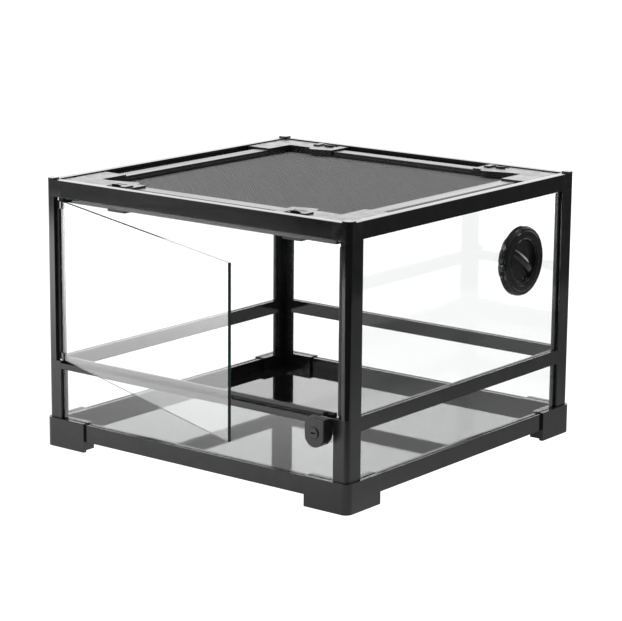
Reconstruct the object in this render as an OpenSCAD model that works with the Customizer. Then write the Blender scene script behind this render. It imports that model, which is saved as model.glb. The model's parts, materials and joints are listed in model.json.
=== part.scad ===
// Front-opening reptile terrarium that goes together from a kit: corner shoes, posts and
// rails grip the glass in grooves, and caps close the rim. It has a hinged glass door with
// a cam lock, a screen lid held by four sliding latches, and a round shutter vent.
// Millimetres. +Z is up and the door faces -Y. The origin is the middle of the tank, on
// the plane that the feet stand on.

/* [Tank] */
// Width over the frame, left to right
tank_w = 610; // [480:5:900]
// Depth over the frame, front to back
tank_d = 610; // [480:5:900]
// Height of the rim above the ground
tank_h = 440; // [380:5:600]
// Radius of the frame's outer upright corners
corner_round = 8; // [4:1:10]

/* [Feet] */
// Height of a corner foot
foot_h = 48; // [47:1:60]
// Length of each arm of a foot, from its outer corner
foot_arm = 83; // [65:1:110]
// Thickness of a foot's arms
foot_depth = 25; // [22:1:32]
// How far a foot stands out from the frame
foot_proud = 4; // [2:0.5:6]
// Width of the edge that a foot stands on
foot_edge = 7; // [5:0.5:12]
// Height of the hollow behind that edge
foot_hollow = 3; // [1:0.5:8]

/* [Frame] */
// Thickness of posts, middle rails and rim
frame_t = 14; // [13:0.5:18]
// Width of every post seen from the side
side_flange = 33; // [24:1:45]
// Width of the upper posts and rear posts seen from the front
door_flange = 17; // [15:0.5:21]
// Width of the lower front posts seen from the front
sill_flange = 27; // [26.5:0.5:34]
// Height at which the lower and upper posts meet
post_joint = 144; // [120:1:220]
// Underside of the base rails
base_rail_bottom = 17.5; // [10:0.5:20]
// Height of the base rails
base_rail_h = 28.5; // [24:0.5:29]
// Thickness of the base rails
base_rail_t = 16; // [14:0.5:20]
// Height of the middle rails at the sides and the back
mid_rail_h = 23; // [18:0.5:30]
// How far the middle rails rise above the post joint
mid_rail_rise = 2; // [0:0.5:5]
// Height of the rim
rim_h = 27; // [24:0.5:36]
// Length of a rim cap's arms
cap_arm = 33; // [33:1:60]
// Side of the raised square on a rim cap
lug_side = 15; // [12:0.5:20]
// Height of that raised square
lug_h = 2.5; // [1:0.5:5]
// Length of the tongues that plug the rails into feet and caps
tongue = 15; // [8:1:20]
// Diameter of the pegs that locate the posts
peg_d = 6; // [4:0.5:7]
// Length of those pegs
peg_h = 12; // [6:1:20]

/* [Glass] */
// Thickness of the fixed glass
glass_t = 5; // [4:0.5:6]
// How far the fixed glass lies behind the frame's face
glass_setback = 4; // [3:0.5:5]
// Depth of the grooves that hold the glass
glass_grip = 5; // [4:0.5:6]
// Thickness of the floor panel
floor_t = 5; // [3:0.5:8]
// Height of the ledge that the floor panel lies on, above the base rails' underside
floor_rise = 5.5; // [4:0.5:8]
// Width of that ledge
floor_ledge = 8; // [6:0.5:14]

/* [Rim ledge and lips] */
// Depth of the ledge below the rim's top
ledge_drop = 16; // [15:0.5:20]
// Thickness of that ledge
ledge_t = 8; // [4:0.5:8]
// Width of that ledge
ledge_w = 10; // [8:0.5:14]
// How far the lips that the door shuts against lie behind the frame's face
lip_setback = 11.5; // [11:0.5:13]
// How far the upper lip hangs below the rim
lip_drop = 9; // [8:0.5:12]
// How far the lower lip rises above the sill
lip_rise = 9; // [8:0.5:12]
// Thickness of the lower lip
lip_t = 6; // [4:0.5:8]
// Height of the sill's front face
sill_h = 10; // [9:0.5:14]
// How far the sill lies below the post joint
sill_drop = 3; // [1:0.5:4]

/* [Door] */
// Thickness of the door glass
door_t = 5; // [4:0.5:6]
// How far the door stands open at rest, in degrees
door_angle = 21.5; // [0:0.5:80]
// Gap between the door and each post
door_side_gap = 2; // [1.5:0.5:3]
// Gap between the door and the lower posts' ends
door_foot_gap = 3; // [3:0.5:4]
// Gap between the door and the rim
door_head_gap = 6; // [4:0.5:7]
// Distance of the hinge axis behind the frame's face
hinge_depth = 7; // [7:0.25:7.25]
// Distance of the hinge axis from the door's edge
hinge_inset = 4.5; // [4.5:0.25:5]
// Width of the hinge strip
strip_w = 8.5; // [8:0.5:14]
// Thickness of the hinge strip
strip_t = 8; // [7.5:0.25:8]
// Height of a hinge clip
clip_h = 12; // [11:1:20]
// Width of a hinge clip
clip_w = 18; // [14:1:26]
// Diameter of the pivot pins
pin_d = 4; // [3:0.5:4.5]
// How far a pivot pin goes into the door's clip
pin_reach = 8; // [5:0.5:10]
// How far a pivot pin is set into the frame
pin_set = 6; // [4:0.5:6]

/* [Lid] */
// Width of the lid's rails
lid_rail_w = 48.5; // [44:0.5:60]
// Thickness of the lid's rails
lid_rail_h = 11.5; // [10:0.5:12]
// Thickness of the lid's corners
lid_corner_h = 14.1; // [12.3:0.2:15]
// Length of a corner's arm along the front or the back
lid_arm_x = 143; // [139:1:150]
// Length of a corner's arm along the side
lid_arm_y = 106; // [80:1:140]
// Thickness of the screen
screen_t = 0.8; // [0.6:0.1:1.2]
// Openings across the screen
mesh_count = 12; // [4:1:12]
// Width of the bars between the screen's openings
mesh_bar = 6; // [4:0.5:8]
// Width of the latch housing
housing_w = 58; // [44:1:60]
// How far the latch housing stands out over the screen
housing_bulge = 13; // [8:0.5:14]

/* [Lid latches] */
// Width of a latch's thumb plate
latch_w = 28; // [24:1:30]
// Length of a latch's thumb plate
latch_l = 22; // [20:1:26]
// How far a latch slides outwards
latch_travel = 7; // [5:0.5:7]
// Width of a latch's nose
nose_w = 36; // [30:1:40]
// How far the nose reaches out from the latch's leg
nose_reach = 6.5; // [5:0.5:7]
// Height of the nose
nose_h = 6.5; // [4:0.5:8]

/* [Vent] */
// Distance of the vent's centre from the tank's back
vent_inset = 155; // [135:1:305]
// Height of the vent's centre below the rim's underside
vent_drop = 97; // [80:1:180]
// Diameter of the vent's flange
vent_d = 112; // [100:1:130]
// Height of the vent's flange
vent_h = 12; // [10:0.5:15]
// Diameter of the shutter knob
knob_d = 69; // [60:1:72]
// Height of the knob's dome above its rim
dome_h = 6; // [3:0.5:8]
// Thickness of the knob's grip bar
grip_w = 14; // [10:1:20]
// Slope of the grip bar at rest, in degrees
grip_angle = -35; // [-90:5:90]

/* [Lock] */
// Width of the lock
lock_w = 35.5; // [32:0.5:44]
// Distance of the lock's middle from the tank's right face
lock_inset = 46; // [46:1:140]
// Height of the lock
lock_h = 44; // [42:1:60]
// How far the lock stands out from the frame
lock_depth = 22; // [16:1:30]
// Diameter of the key cylinder
cylinder_d = 18; // [16:0.5:20]
// Distance of the key cylinder below the lock's top
cylinder_drop = 21.5; // [20:0.5:22]
// How far the bolt rises
bolt_rise = 8; // [6:0.5:8]

/* [Clearances] */
// Gap left around the glass and the tongues
fit_gap = 0.3; // [0.1:0.05:0.4]
// Radial gap around pins and turning shafts
run_gap = 0.05; // [0.02:0.01:0.1]
// Gap between the lid and the rim
lid_gap = 1; // [0.5:0.1:1.5]

/* [Hidden] */
$fn = 64;
// Colours
black_plastic = [0.09, 0.09, 0.1];
soft_black = [0.16, 0.16, 0.17];
clear_glass = [0.75, 0.86, 0.84, 0.35];
gloss_black = [0.04, 0.04, 0.05];
screen_grey = [0.38, 0.38, 0.38];
steel = [0.7, 0.7, 0.72];

// Heights
base_rail_top = base_rail_bottom + base_rail_h;
floor_seat = base_rail_bottom + floor_rise;
glass_seat = base_rail_top - glass_grip;
mid_rail_top = post_joint + mid_rail_rise;
mid_rail_bottom = mid_rail_top - mid_rail_h;
sill_top = post_joint - sill_drop;
sill_bottom = sill_top - sill_h;
rim_bottom = tank_h - rim_h;
ledge_top = tank_h - ledge_drop;
lip_bottom = rim_bottom - lip_drop;
lid_bottom = ledge_top + fit_gap;
lid_corner_top = lid_bottom + lid_corner_h;

// Glass grooves, measured inwards from the frame's face
groove_in = glass_setback - fit_gap;
groove_w = glass_t + 2 * fit_gap;
foot_end = foot_arm - foot_proud;
ledge_edge = frame_t + ledge_w;

// Tongues between rails and feet or caps
tongue_h = 14;
base_tongue_z = glass_seat - 3 - tongue_h;
rim_tongue_z = tank_h - 4 - tongue_h;

// Door, measured from its hinge axis
door_bottom = post_joint + door_foot_gap;
door_top = rim_bottom - door_head_gap;
door_w = tank_w - 2 * (door_flange + door_side_gap);
hinge_x = -door_w / 2 + hinge_inset;
hinge_y = -tank_d / 2 + hinge_depth;
strip_wall = 1.2;
pin_bore = pin_d + 2 * run_gap;
collar_d = pin_d + 3;
notch_x = pin_d / 2 + 1;

// Lid, measured inwards from the frame's face
lid_edge = frame_t + lid_gap;
lid_inner = lid_edge + lid_rail_w;
arm_end = lid_edge + lid_arm_x;
screen_grip = 5;
screen_z = lid_bottom + 1;
lid_tongue_w = 12;
lid_tongue_h = 3;
lid_tongue_in = lid_inner - screen_grip - lid_tongue_w - 1;
lid_tongue_z = screen_z + screen_t + 2;
housing_z = screen_z + screen_t + 3;
lift_notch = 5;
flange_w = 16;
flange_h = 6;
shoulder = 6;

// Latches, measured like the lid
latch_wall = 19;
latch_slit = 2.5;
latch_x = arm_end - latch_wall - latch_w;
plate_h = 3.3;
plate_floor = lid_corner_top - 4;
plate_y = lid_edge + 5.7 + fit_gap + latch_travel;
thumb_r = 10;
leg_x = latch_x + 2;
leg_y = ledge_edge + 1 + latch_travel;
leg_t = 8;
nose_top = lip_bottom - 0.5;
nose_shift = 3;
nose_x = latch_x + latch_w / 2 + nose_shift - nose_w / 2;

// Vent, measured outwards from the glass
vent_y = tank_d / 2 - vent_inset;
ring_w = 8;
ring_edge = 3;
dish = 2;
nut_rim = 11;
knob_bore = knob_d / 2 + fit_gap;
sleeve_r = knob_bore + 1.5;
sleeve_wall = 3.5;
sleeve_l = glass_t + 8;
vent_hole = sleeve_r + 1;
nut_r = sleeve_r + nut_rim;
nut_h = 6;
web_t = 2;
knob_z = web_t + fit_gap;
knob_rim = vent_h - 4;
scoop_floor = knob_z + 2.5;
scoop_r = knob_d / 2 - 6;
window_in = 10;
window_out = scoop_r - 3;
shaft_d = 8;

// Lock, measured from its middle on the frame's face
lock_top = post_joint + 1.5;
lock_r = lock_w / 2;
lock_low = lock_top - lock_h + lock_r;
cylinder_z = lock_top - cylinder_drop;
cam_pin_d = 3;
cam_r = bolt_rise / (2 * sin(45));
bolt_w = 18;
bolt_tip_w = 12;
bolt_back = 0.7;
bolt_front = 4;
bolt_low = 9;
toe_h = 3.2;
toe_gap = 1;
toe_reach = hinge_depth - door_t / 2 - toe_gap;
cam_play = 0.35;

// Sides count from the front, anticlockwise seen from above
FRONT = 0;
RIGHT = 1;
BACK = 2;
LEFT = 3;
function faces_front_or_back(side) = side % 2 == 0;
function side_span(side) = faces_front_or_back(side) ? tank_w : tank_d;
function side_reach(side) = (faces_front_or_back(side) ? tank_d : tank_w) / 2;
// Width of the lower posts seen from a side, and of the upper ones
function lower_flange(side) = side == FRONT ? sill_flange : side == BACK ? door_flange : side_flange;
function upper_flange(side) = faces_front_or_back(side) ? door_flange : side_flange;

// Placing: x runs along the side and y inwards from its face
module on_side(side)
    rotate([0, 0, 90 * side]) translate([0, -side_reach(side), 0]) children();

// Placing: x and y both run inwards from the corner's outer faces
module at_corner(sx, sy)
    translate([sx * tank_w / 2, sy * tank_d / 2, 0])
        mirror([sx > 0 ? 1 : 0, 0, 0]) mirror([0, sy > 0 ? 1 : 0, 0]) children();

// Extrudes a section drawn as (inwards, up) along a side
module along_side(length)
    rotate([90, 0, 90]) linear_extrude(length, center = true) children();

// L-shaped outline with a rounded outer corner, standing proud of the corner's faces
module corner_outline(arm_x, arm_y, depth, round, proud = 0)
    translate([-proud, -proud]) {
        translate([round, 0]) square([arm_x - round, depth]);
        translate([0, round]) square([depth, arm_y - round]);
        translate([round, round]) circle(round);
    }

// Peg that locates a post, and the bore that takes it
module peg(bottom, gap = 0)
    translate([frame_t / 2, frame_t / 2, bottom - gap]) cylinder(d = peg_d + 2 * gap, h = peg_h + 2 * gap);

// Pockets for the tongues of the two rails that meet at a corner
module tongue_pockets(arm, bottom) {
    size = [tongue + fit_gap, glass_t + 2 * fit_gap, tongue_h + 2 * fit_gap];
    translate([arm - size[0], groove_in, bottom - fit_gap]) cube([size[0] + 1, size[1], size[2]]);
    translate([groove_in, arm - size[0], bottom - fit_gap]) cube([size[1], size[0] + 1, size[2]]);
}

// Tongues on both ends of a rail
module rail_tongues(length, reach, bottom, height)
    for (end = [-1, 1])
        translate([end * (length + reach) / 2 - reach / 2, glass_setback, bottom])
            cube([reach, glass_t, height]);

// ---- Feet, base rails and floor ----
module foot(sx, sy) color(black_plastic) at_corner(sx, sy) {
    flange = sy < 0 ? sill_flange : door_flange;
    difference() {
        linear_extrude(foot_h)
            corner_outline(foot_arm, foot_arm, foot_depth, corner_round + foot_proud, foot_proud);
        translate([foot_edge - foot_proud, foot_edge - foot_proud, -1])
            cube([foot_arm, foot_arm, foot_hollow + 1]);
        translate([base_rail_t, base_rail_t, floor_seat])
            cube([foot_arm, foot_arm, floor_t + fit_gap]);
        translate([groove_in, side_flange - glass_grip, glass_seat])
            cube([groove_w, foot_arm, foot_h]);
        translate([flange - glass_grip, groove_in, glass_seat])
            cube([foot_arm, groove_w, foot_h]);
        tongue_pockets(foot_end, base_tongue_z);
    }
    peg(foot_h);
}

module base_rail(side) color(black_plastic) on_side(side) {
    length = side_span(side) - 2 * foot_end;
    along_side(length) difference() {
        union() {
            translate([0, base_rail_bottom]) square([base_rail_t, base_rail_h]);
            translate([0, base_rail_bottom]) square([base_rail_t + floor_ledge, floor_rise]);
        }
        translate([groove_in, glass_seat]) square([groove_w, glass_grip + 1]);
    }
    rail_tongues(length, tongue, base_tongue_z, tongue_h);
}

module floor_panel() color(gloss_black)
    translate([-tank_w / 2 + base_rail_t + fit_gap, -tank_d / 2 + base_rail_t + fit_gap, floor_seat])
        cube([tank_w - 2 * (base_rail_t + fit_gap), tank_d - 2 * (base_rail_t + fit_gap), floor_t]);

// ---- Posts ----
// glazed says how high the groove towards the front or back runs
module post(sx, sy, flange, bottom, top, glazed) at_corner(sx, sy)
    difference() {
        translate([0, 0, bottom]) linear_extrude(top - bottom)
            corner_outline(flange, side_flange, frame_t, corner_round);
        translate([groove_in, side_flange - glass_grip, bottom - 1])
            cube([groove_w, glass_grip + 1, top - bottom + 2]);
        translate([flange - glass_grip, groove_in, bottom - 1])
            cube([glass_grip + 1, groove_w, glazed - bottom + 1]);
        children();
    }

module lower_post(sx, sy) color(black_plastic) {
    front = sy < 0;
    post(sx, sy, front ? sill_flange : door_flange, foot_h, post_joint,
         front ? sill_bottom + glass_grip : post_joint + 1) {
        peg(foot_h, fit_gap);
        if (front) pivot_bore(post_joint - pin_set);
    }
    at_corner(sx, sy) peg(post_joint);
}

module upper_post(sx, sy) color(black_plastic)
    post(sx, sy, door_flange, post_joint, rim_bottom, sy < 0 ? post_joint : rim_bottom + 1) {
        peg(post_joint, fit_gap);
        peg(rim_bottom - peg_h, fit_gap);
    }

// ---- Glass and middle rails ----
module pane(side, flange, bottom, top) {
    length = side_span(side) - 2 * (flange - glass_grip + fit_gap);
    translate([-length / 2, glass_setback, bottom]) cube([length, glass_t, top - bottom]);
}

module lower_glass(side) color(clear_glass) on_side(side)
    pane(side, lower_flange(side), glass_seat,
         (side == FRONT ? sill_bottom : mid_rail_bottom) + glass_grip - fit_gap);

module upper_glass(side) color(clear_glass)
    difference() {
        on_side(side)
            pane(side, upper_flange(side), mid_rail_top - glass_grip, rim_bottom + glass_grip - fit_gap);
        if (side == RIGHT) at_vent() translate([0, 0, -glass_t - 1]) cylinder(r = vent_hole, h = glass_t + 2);
    }

module mid_rail(side) color(black_plastic) on_side(side) {
    length = side_span(side) - 2 * upper_flange(side);
    along_side(length) difference() {
        translate([0, mid_rail_bottom]) square([frame_t, mid_rail_h]);
        translate([groove_in, mid_rail_bottom - 1]) square([groove_w, glass_grip + 1]);
        translate([groove_in, mid_rail_top - glass_grip]) square([groove_w, glass_grip + 1]);
    }
    rail_tongues(length, glass_grip - fit_gap, mid_rail_bottom + glass_grip + fit_gap,
                 mid_rail_h - 2 * (glass_grip + fit_gap));
}

module sill_rail() color(black_plastic) on_side(FRONT) {
    along_side(tank_w - 2 * sill_flange) difference() {
        translate([0, sill_bottom]) square([lip_setback + lip_t, sill_h]);
        translate([groove_in, sill_bottom - 1]) square([groove_w, glass_grip + 1]);
    }
    along_side(tank_w - 2 * cap_arm)
        translate([lip_setback, sill_top]) square([lip_t, lip_rise]);
}

// ---- Rim ----
module rim(side) color(black_plastic) on_side(side) {
    length = side_span(side) - 2 * cap_arm;
    along_side(length) difference() {
        union() {
            translate([0, rim_bottom]) square([frame_t, rim_h]);
            translate([0, ledge_top - ledge_t]) square([ledge_edge, ledge_t]);
            if (faces_front_or_back(side))
                translate([lip_setback, lip_bottom]) square([ledge_edge - lip_setback, ledge_top - lip_bottom]);
        }
        if (side != FRONT) translate([groove_in, rim_bottom - 1]) square([groove_w, glass_grip + 1]);
    }
    rail_tongues(length, tongue, rim_tongue_z, tongue_h);
}

module rim_cap(sx, sy) color(black_plastic) at_corner(sx, sy) {
    difference() {
        union() {
            translate([0, 0, rim_bottom]) linear_extrude(rim_h)
                corner_outline(cap_arm, cap_arm, frame_t, corner_round);
            translate([0, 0, ledge_top - ledge_t]) linear_extrude(ledge_t)
                corner_outline(cap_arm, cap_arm, ledge_edge, corner_round);
            translate([0, 0, tank_h]) linear_extrude(lug_h)
                corner_outline(lug_side, lug_side, lug_side, corner_round);
        }
        translate([groove_in, side_flange - glass_grip, rim_bottom - 1])
            cube([groove_w, cap_arm, glass_grip + 1]);
        if (sy > 0) translate([door_flange - glass_grip, groove_in, rim_bottom - 1])
            cube([cap_arm, groove_w, glass_grip + 1]);
        tongue_pockets(cap_arm, rim_tongue_z);
        if (sy < 0) pivot_bore(rim_bottom);
    }
    peg(rim_bottom - peg_h);
}

// ---- Door ----
// Bore for a pivot pin, in a front corner
module pivot_bore(bottom)
    translate([tank_w / 2 + hinge_x, hinge_depth, bottom]) cylinder(d = pin_bore, h = pin_set);

module door_pose()
    translate([hinge_x, hinge_y, 0]) rotate([0, 0, -door_angle]) children();

// Box between two corners, set off from the hinge axis along x
module door_slab(x0, x1, thick, z0, z1)
    translate([x0, -thick / 2, z0]) cube([x1 - x0, thick, z1 - z0]);

module door_glass() color(clear_glass) door_pose()
    difference() {
        door_slab(strip_wall - hinge_inset, door_w - hinge_inset, door_t, door_bottom, door_top);
        door_slab(-hinge_inset, notch_x, door_t + 1, door_bottom - 1, door_bottom + clip_h);
        door_slab(-hinge_inset, notch_x, door_t + 1, door_top - clip_h, door_top + 1);
    }

module hinge_strip() color(soft_black) door_pose()
    difference() {
        door_slab(-hinge_inset, strip_w - hinge_inset, strip_t, door_bottom + clip_h, door_top - clip_h);
        door_slab(strip_wall - hinge_inset, door_w, door_t, door_bottom, door_top);
    }

module hinge_clips() color(black_plastic) door_pose()
    difference() {
        union() {
            door_slab(-hinge_inset, clip_w - hinge_inset, strip_t, door_bottom, door_bottom + clip_h);
            door_slab(-hinge_inset, clip_w - hinge_inset, strip_t, door_top - clip_h, door_top);
        }
        door_slab(notch_x, door_w, door_t, door_bottom - 1, door_top + 1);
        translate([0, 0, door_bottom - 1]) cylinder(d = pin_bore, h = pin_reach + 1 + fit_gap);
        translate([0, 0, door_top - pin_reach - fit_gap]) cylinder(d = pin_bore, h = pin_reach + 1 + fit_gap);
    }

// Steel pins that the door turns on, with collars that space it from the frame
module pivot_pins() color(steel) translate([hinge_x, hinge_y, 0]) {
    translate([0, 0, post_joint - pin_set]) cylinder(d = pin_d, h = pin_set + door_foot_gap + pin_reach);
    translate([0, 0, post_joint]) cylinder(d = collar_d, h = door_foot_gap - fit_gap);
    translate([0, 0, door_top - pin_reach]) cylinder(d = pin_d, h = pin_reach + door_head_gap + pin_set);
    translate([0, 0, door_top + fit_gap]) cylinder(d = collar_d, h = door_head_gap - fit_gap);
}

// Plugs in the spare pivot holes, used when the door is hung on the other side
module pivot_plugs() color(steel) translate([-hinge_x, hinge_y, 0]) {
    head = door_foot_gap - 1;
    translate([0, 0, post_joint - pin_set]) cylinder(d = pin_d, h = pin_set + head);
    translate([0, 0, rim_bottom - head]) cylinder(d = pin_d, h = pin_set + head);
}

// ---- Lid ----
module screen_slot(size)
    translate([lid_inner - screen_grip, lid_inner - screen_grip, screen_z])
        cube([size, size, screen_t + fit_gap]);

// Low flange by the rim and a raised part with a sloping shoulder
module lid_rail_outline()
    polygon([[0, 0], [lid_rail_w, 0], [lid_rail_w, lid_rail_h], [flange_w + shoulder, lid_rail_h],
             [flange_w, lid_rail_h - shoulder / 2], [flange_w, flange_h], [0, flange_h]]);

module lid_rail(side) color(black_plastic) on_side(side) {
    arm = faces_front_or_back(side) ? lid_arm_x : lid_arm_y;
    length = side_span(side) - 2 * (lid_edge + arm);
    along_side(length) difference() {
        translate([lid_edge, lid_bottom]) lid_rail_outline();
        translate([lid_inner - screen_grip, screen_z]) square([screen_grip + 1, screen_t + fit_gap]);
    }
    for (end = [-1, 1])
        translate([end * (length + tongue) / 2 - tongue / 2, lid_tongue_in, lid_tongue_z])
            cube([tongue, lid_tongue_w, lid_tongue_h]);
}

module lid_corner(sx, sy) color(black_plastic) at_corner(sx, sy)
    difference() {
        union() {
            translate([lid_edge, lid_edge, lid_bottom]) {
                cube([lid_arm_x, lid_rail_w, lid_corner_h]);
                cube([lid_rail_w, lid_arm_y, lid_corner_h]);
            }
            translate([latch_x + latch_w / 2, lid_inner, housing_z])
                linear_extrude(lid_corner_top - housing_z) housing_outline(sx * sy);
        }
        screen_slot(lid_arm_x + lid_arm_y);
        lid_tongue_pockets();
        lift_notches();
        latch_opening();
    }

// Pad over the screen, steep beside the latch and tapering to the other end; hand is 1 or -1
module housing_outline(hand) {
    steep = latch_w / 2;
    taper = min(housing_w - steep, hand < 0 ? arm_end - latch_x - steep : housing_w);
    lean = housing_bulge * (1 - taper / (housing_w - steep));
    polygon([[-hand * taper, -1], [-hand * taper, lean], [0, housing_bulge], [hand * steep / 2, housing_bulge],
             [hand * steep, housing_bulge / 2], [hand * steep, -1]]);
}

module lid_tongue_pockets() {
    size = [tongue + fit_gap, lid_tongue_w + 2 * fit_gap, lid_tongue_h + 2 * fit_gap];
    translate([arm_end - size[0], lid_tongue_in - fit_gap, lid_tongue_z - fit_gap])
        cube([size[0] + 1, size[1], size[2]]);
    translate([lid_tongue_in - fit_gap, lid_edge + lid_arm_y - size[0], lid_tongue_z - fit_gap])
        cube([size[1], size[0] + 1, size[2]]);
}

// Half-round finger notches in the lid's outer edges
module lift_notches() {
    along = lid_edge + lid_rail_w * 0.7;
    for (place = [[along, lid_edge], [lid_edge, along]])
        translate([place[0], place[1], lid_bottom - 1]) cylinder(r = lift_notch, h = lid_corner_h + 2);
}

// Recess for a latch's thumb plate, and the slot that its leg slides in
module latch_opening() {
    translate([latch_x - fit_gap, plate_y - latch_travel - fit_gap, plate_floor])
        cube([latch_w + latch_slit + fit_gap, latch_l + latch_travel + 2 * fit_gap, lid_corner_h]);
    translate([leg_x - fit_gap, leg_y - latch_travel - fit_gap, lid_bottom - 1])
        cube([latch_w - 2 + 2 * fit_gap, leg_t + latch_travel + 2 * fit_gap, lid_corner_h]);
}

// Coarse square grid inside a band that the rails and corners grip
module screen() color(screen_grey) {
    edge = lid_inner - screen_grip + fit_gap;
    size = [tank_w - 2 * edge, tank_d - 2 * edge];
    pitch = (size + [mesh_bar, mesh_bar] - 2 * [screen_grip, screen_grip]) / mesh_count;
    translate([-size.x / 2, -size.y / 2, screen_z]) linear_extrude(screen_t) difference() {
        square(size);
        for (i = [0 : mesh_count - 1], j = [0 : mesh_count - 1])
            translate([screen_grip + i * pitch.x, screen_grip + j * pitch.y])
                square(pitch - [mesh_bar, mesh_bar]);
    }
}

module lid_latch(sx, sy) color(soft_black) at_corner(sx, sy) {
    difference() {
        translate([latch_x, plate_y, plate_floor + fit_gap]) cube([latch_w, latch_l, plate_h]);
        translate([latch_x + latch_w / 2, plate_y - thumb_r / 2, plate_floor]) cylinder(r = thumb_r, h = plate_h + 1);
    }
    translate([leg_x, leg_y, nose_top]) cube([latch_w - 2, leg_t, plate_floor + fit_gap - nose_top]);
    translate([nose_x, leg_y - nose_reach, nose_top - nose_h]) cube([nose_w, leg_t + nose_reach, nose_h]);
}

// ---- Vent ----
// Placing: x runs backwards along the side, y up and z outwards from the glass
module at_vent()
    on_side(RIGHT) translate([vent_y, glass_setback, rim_bottom - vent_drop]) rotate([90, 0, 0]) children();

// Two opposite windows between the shaft and the knob's rim
module windows(angle)
    for (turn = [0, 180]) rotate(angle + turn)
        intersection() {
            difference() {
                circle(window_out);
                circle(window_in);
            }
            polygon([[0, 0], [2 * window_out, -1.6 * window_out], [2 * window_out, 1.6 * window_out]]);
        }

module vent_flange() color(black_plastic) at_vent() {
    rotate_extrude() {
        r = vent_d / 2;
        polygon([
            [sleeve_r - sleeve_wall, -sleeve_l], [sleeve_r, -sleeve_l], [sleeve_r, 0], [r, 0],
            [r, 0.45 * vent_h], [r - 1.3, 0.5 * vent_h], [r - 1.3, 0.58 * vent_h], [r - 0.5, 0.62 * vent_h],
            [r - ring_edge / 3, vent_h - ring_edge / 2], [r - ring_edge, vent_h],
            [r - ring_w, vent_h], [r - ring_w - dish / 2, vent_h - dish],
            [knob_bore + 1.25 * dish, vent_h - dish], [knob_bore + 0.75 * dish, vent_h - dish / 2],
            [knob_bore, vent_h - dish / 2],
            [knob_bore, web_t], [sleeve_r - sleeve_wall, web_t]
        ]);
    }
    linear_extrude(web_t) difference() {
        circle(sleeve_r - sleeve_wall);
        circle(shaft_d / 2 + run_gap);
        windows(grip_angle);
    }
}

module vent_nut() color(black_plastic) at_vent()
    translate([0, 0, -glass_t - nut_h]) difference() {
        cylinder(r = nut_r, h = nut_h);
        translate([0, 0, -1]) cylinder(r = sleeve_r + fit_gap, h = nut_h + 2);
        for (i = [0:11]) rotate(30 * i) translate([nut_r + 3, 0, -1]) cylinder(r = 5, h = nut_h - 1);
    }

module vent_knob() color(soft_black) at_vent() {
    rim_r = knob_d / 2;
    dome_r = (rim_r * rim_r + dome_h * dome_h) / (2 * dome_h);
    difference() {
        intersection() {
            translate([0, 0, knob_z]) cylinder(r = rim_r, h = knob_rim + dome_h);
            translate([0, 0, knob_rim + dome_h - dome_r]) sphere(dome_r, $fn = 180);
        }
        rotate(grip_angle) for (turn = [0, 180]) rotate(turn)
            translate([0, 0, scoop_floor]) linear_extrude(knob_rim + dome_h) intersection() {
                circle(scoop_r);
                translate([-scoop_r, grip_w / 2]) square([2 * scoop_r, scoop_r]);
            }
        linear_extrude(knob_rim) windows(grip_angle + 90);
    }
    translate([0, 0, -fit_gap]) cylinder(d = shaft_d, h = knob_z + 1);
}

// ---- Lock ----
// Placing: x and z as on the tank, y inwards from the front face
module at_lock()
    translate([tank_w / 2 - lock_inset, -tank_d / 2, 0]) children();

// Cylinder along y between two depths
module along_y(d, y0, y1, x, z)
    translate([x, y1, z]) rotate([90, 0, 0]) cylinder(d = d, h = y1 - y0);

module lock_body() color(black_plastic) at_lock()
    difference() {
        union() {
            rotate([90, 0, 0]) linear_extrude(lock_depth) {
                translate([-lock_r, lock_low]) square([lock_w, lock_top - lock_low]);
                translate([0, lock_low]) circle(lock_r);
            }
            along_y(2 * (sill_bottom - lock_low - 1), -1, glass_setback, 0, lock_low);
        }
        along_y(cylinder_d + 2 * run_gap, -lock_depth - 1, -bolt_front, 0, cylinder_z);
        translate([-bolt_w / 2 - fit_gap, -bolt_front - fit_gap, cylinder_z - bolt_low - fit_gap])
            cube([bolt_w + 2 * fit_gap, bolt_front + fit_gap, lock_h]);
    }

module lock_cylinder() color(soft_black) at_lock() {
    difference() {
        along_y(cylinder_d, -lock_depth - 0.5, -bolt_front - 2 * fit_gap, 0, cylinder_z);
        translate([-4, -lock_depth - 1, cylinder_z - 1]) cube([8, 5, 2]);
    }
    along_y(cam_pin_d, -bolt_front - 2 * fit_gap - 1, -bolt_back - fit_gap,
            cam_r * cos(45), cylinder_z - cam_r * sin(45));
}

module lock_bolt() color(steel) at_lock() {
    thick = bolt_front - bolt_back;
    difference() {
        union() {
            translate([-bolt_w / 2, -bolt_front, cylinder_z - bolt_low])
                cube([bolt_w, thick, 2 * bolt_low]);
            translate([-bolt_tip_w / 2, -bolt_front, cylinder_z])
                cube([bolt_tip_w, thick, sill_top + fit_gap + toe_h - cylinder_z]);
        }
        translate([cam_r * cos(45) - cam_pin_d / 2 - cam_play, -bolt_front - 1,
                   cylinder_z - cam_r * sin(45) - cam_pin_d / 2 - cam_play])
            cube([cam_r * (1 - cos(45)) + cam_pin_d + 2 * cam_play, thick + 2, cam_pin_d + 2 * cam_play]);
    }
    translate([-bolt_tip_w / 2, -bolt_front, sill_top + fit_gap])
        cube([bolt_tip_w, bolt_front + toe_reach, toe_h]);
}

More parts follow.
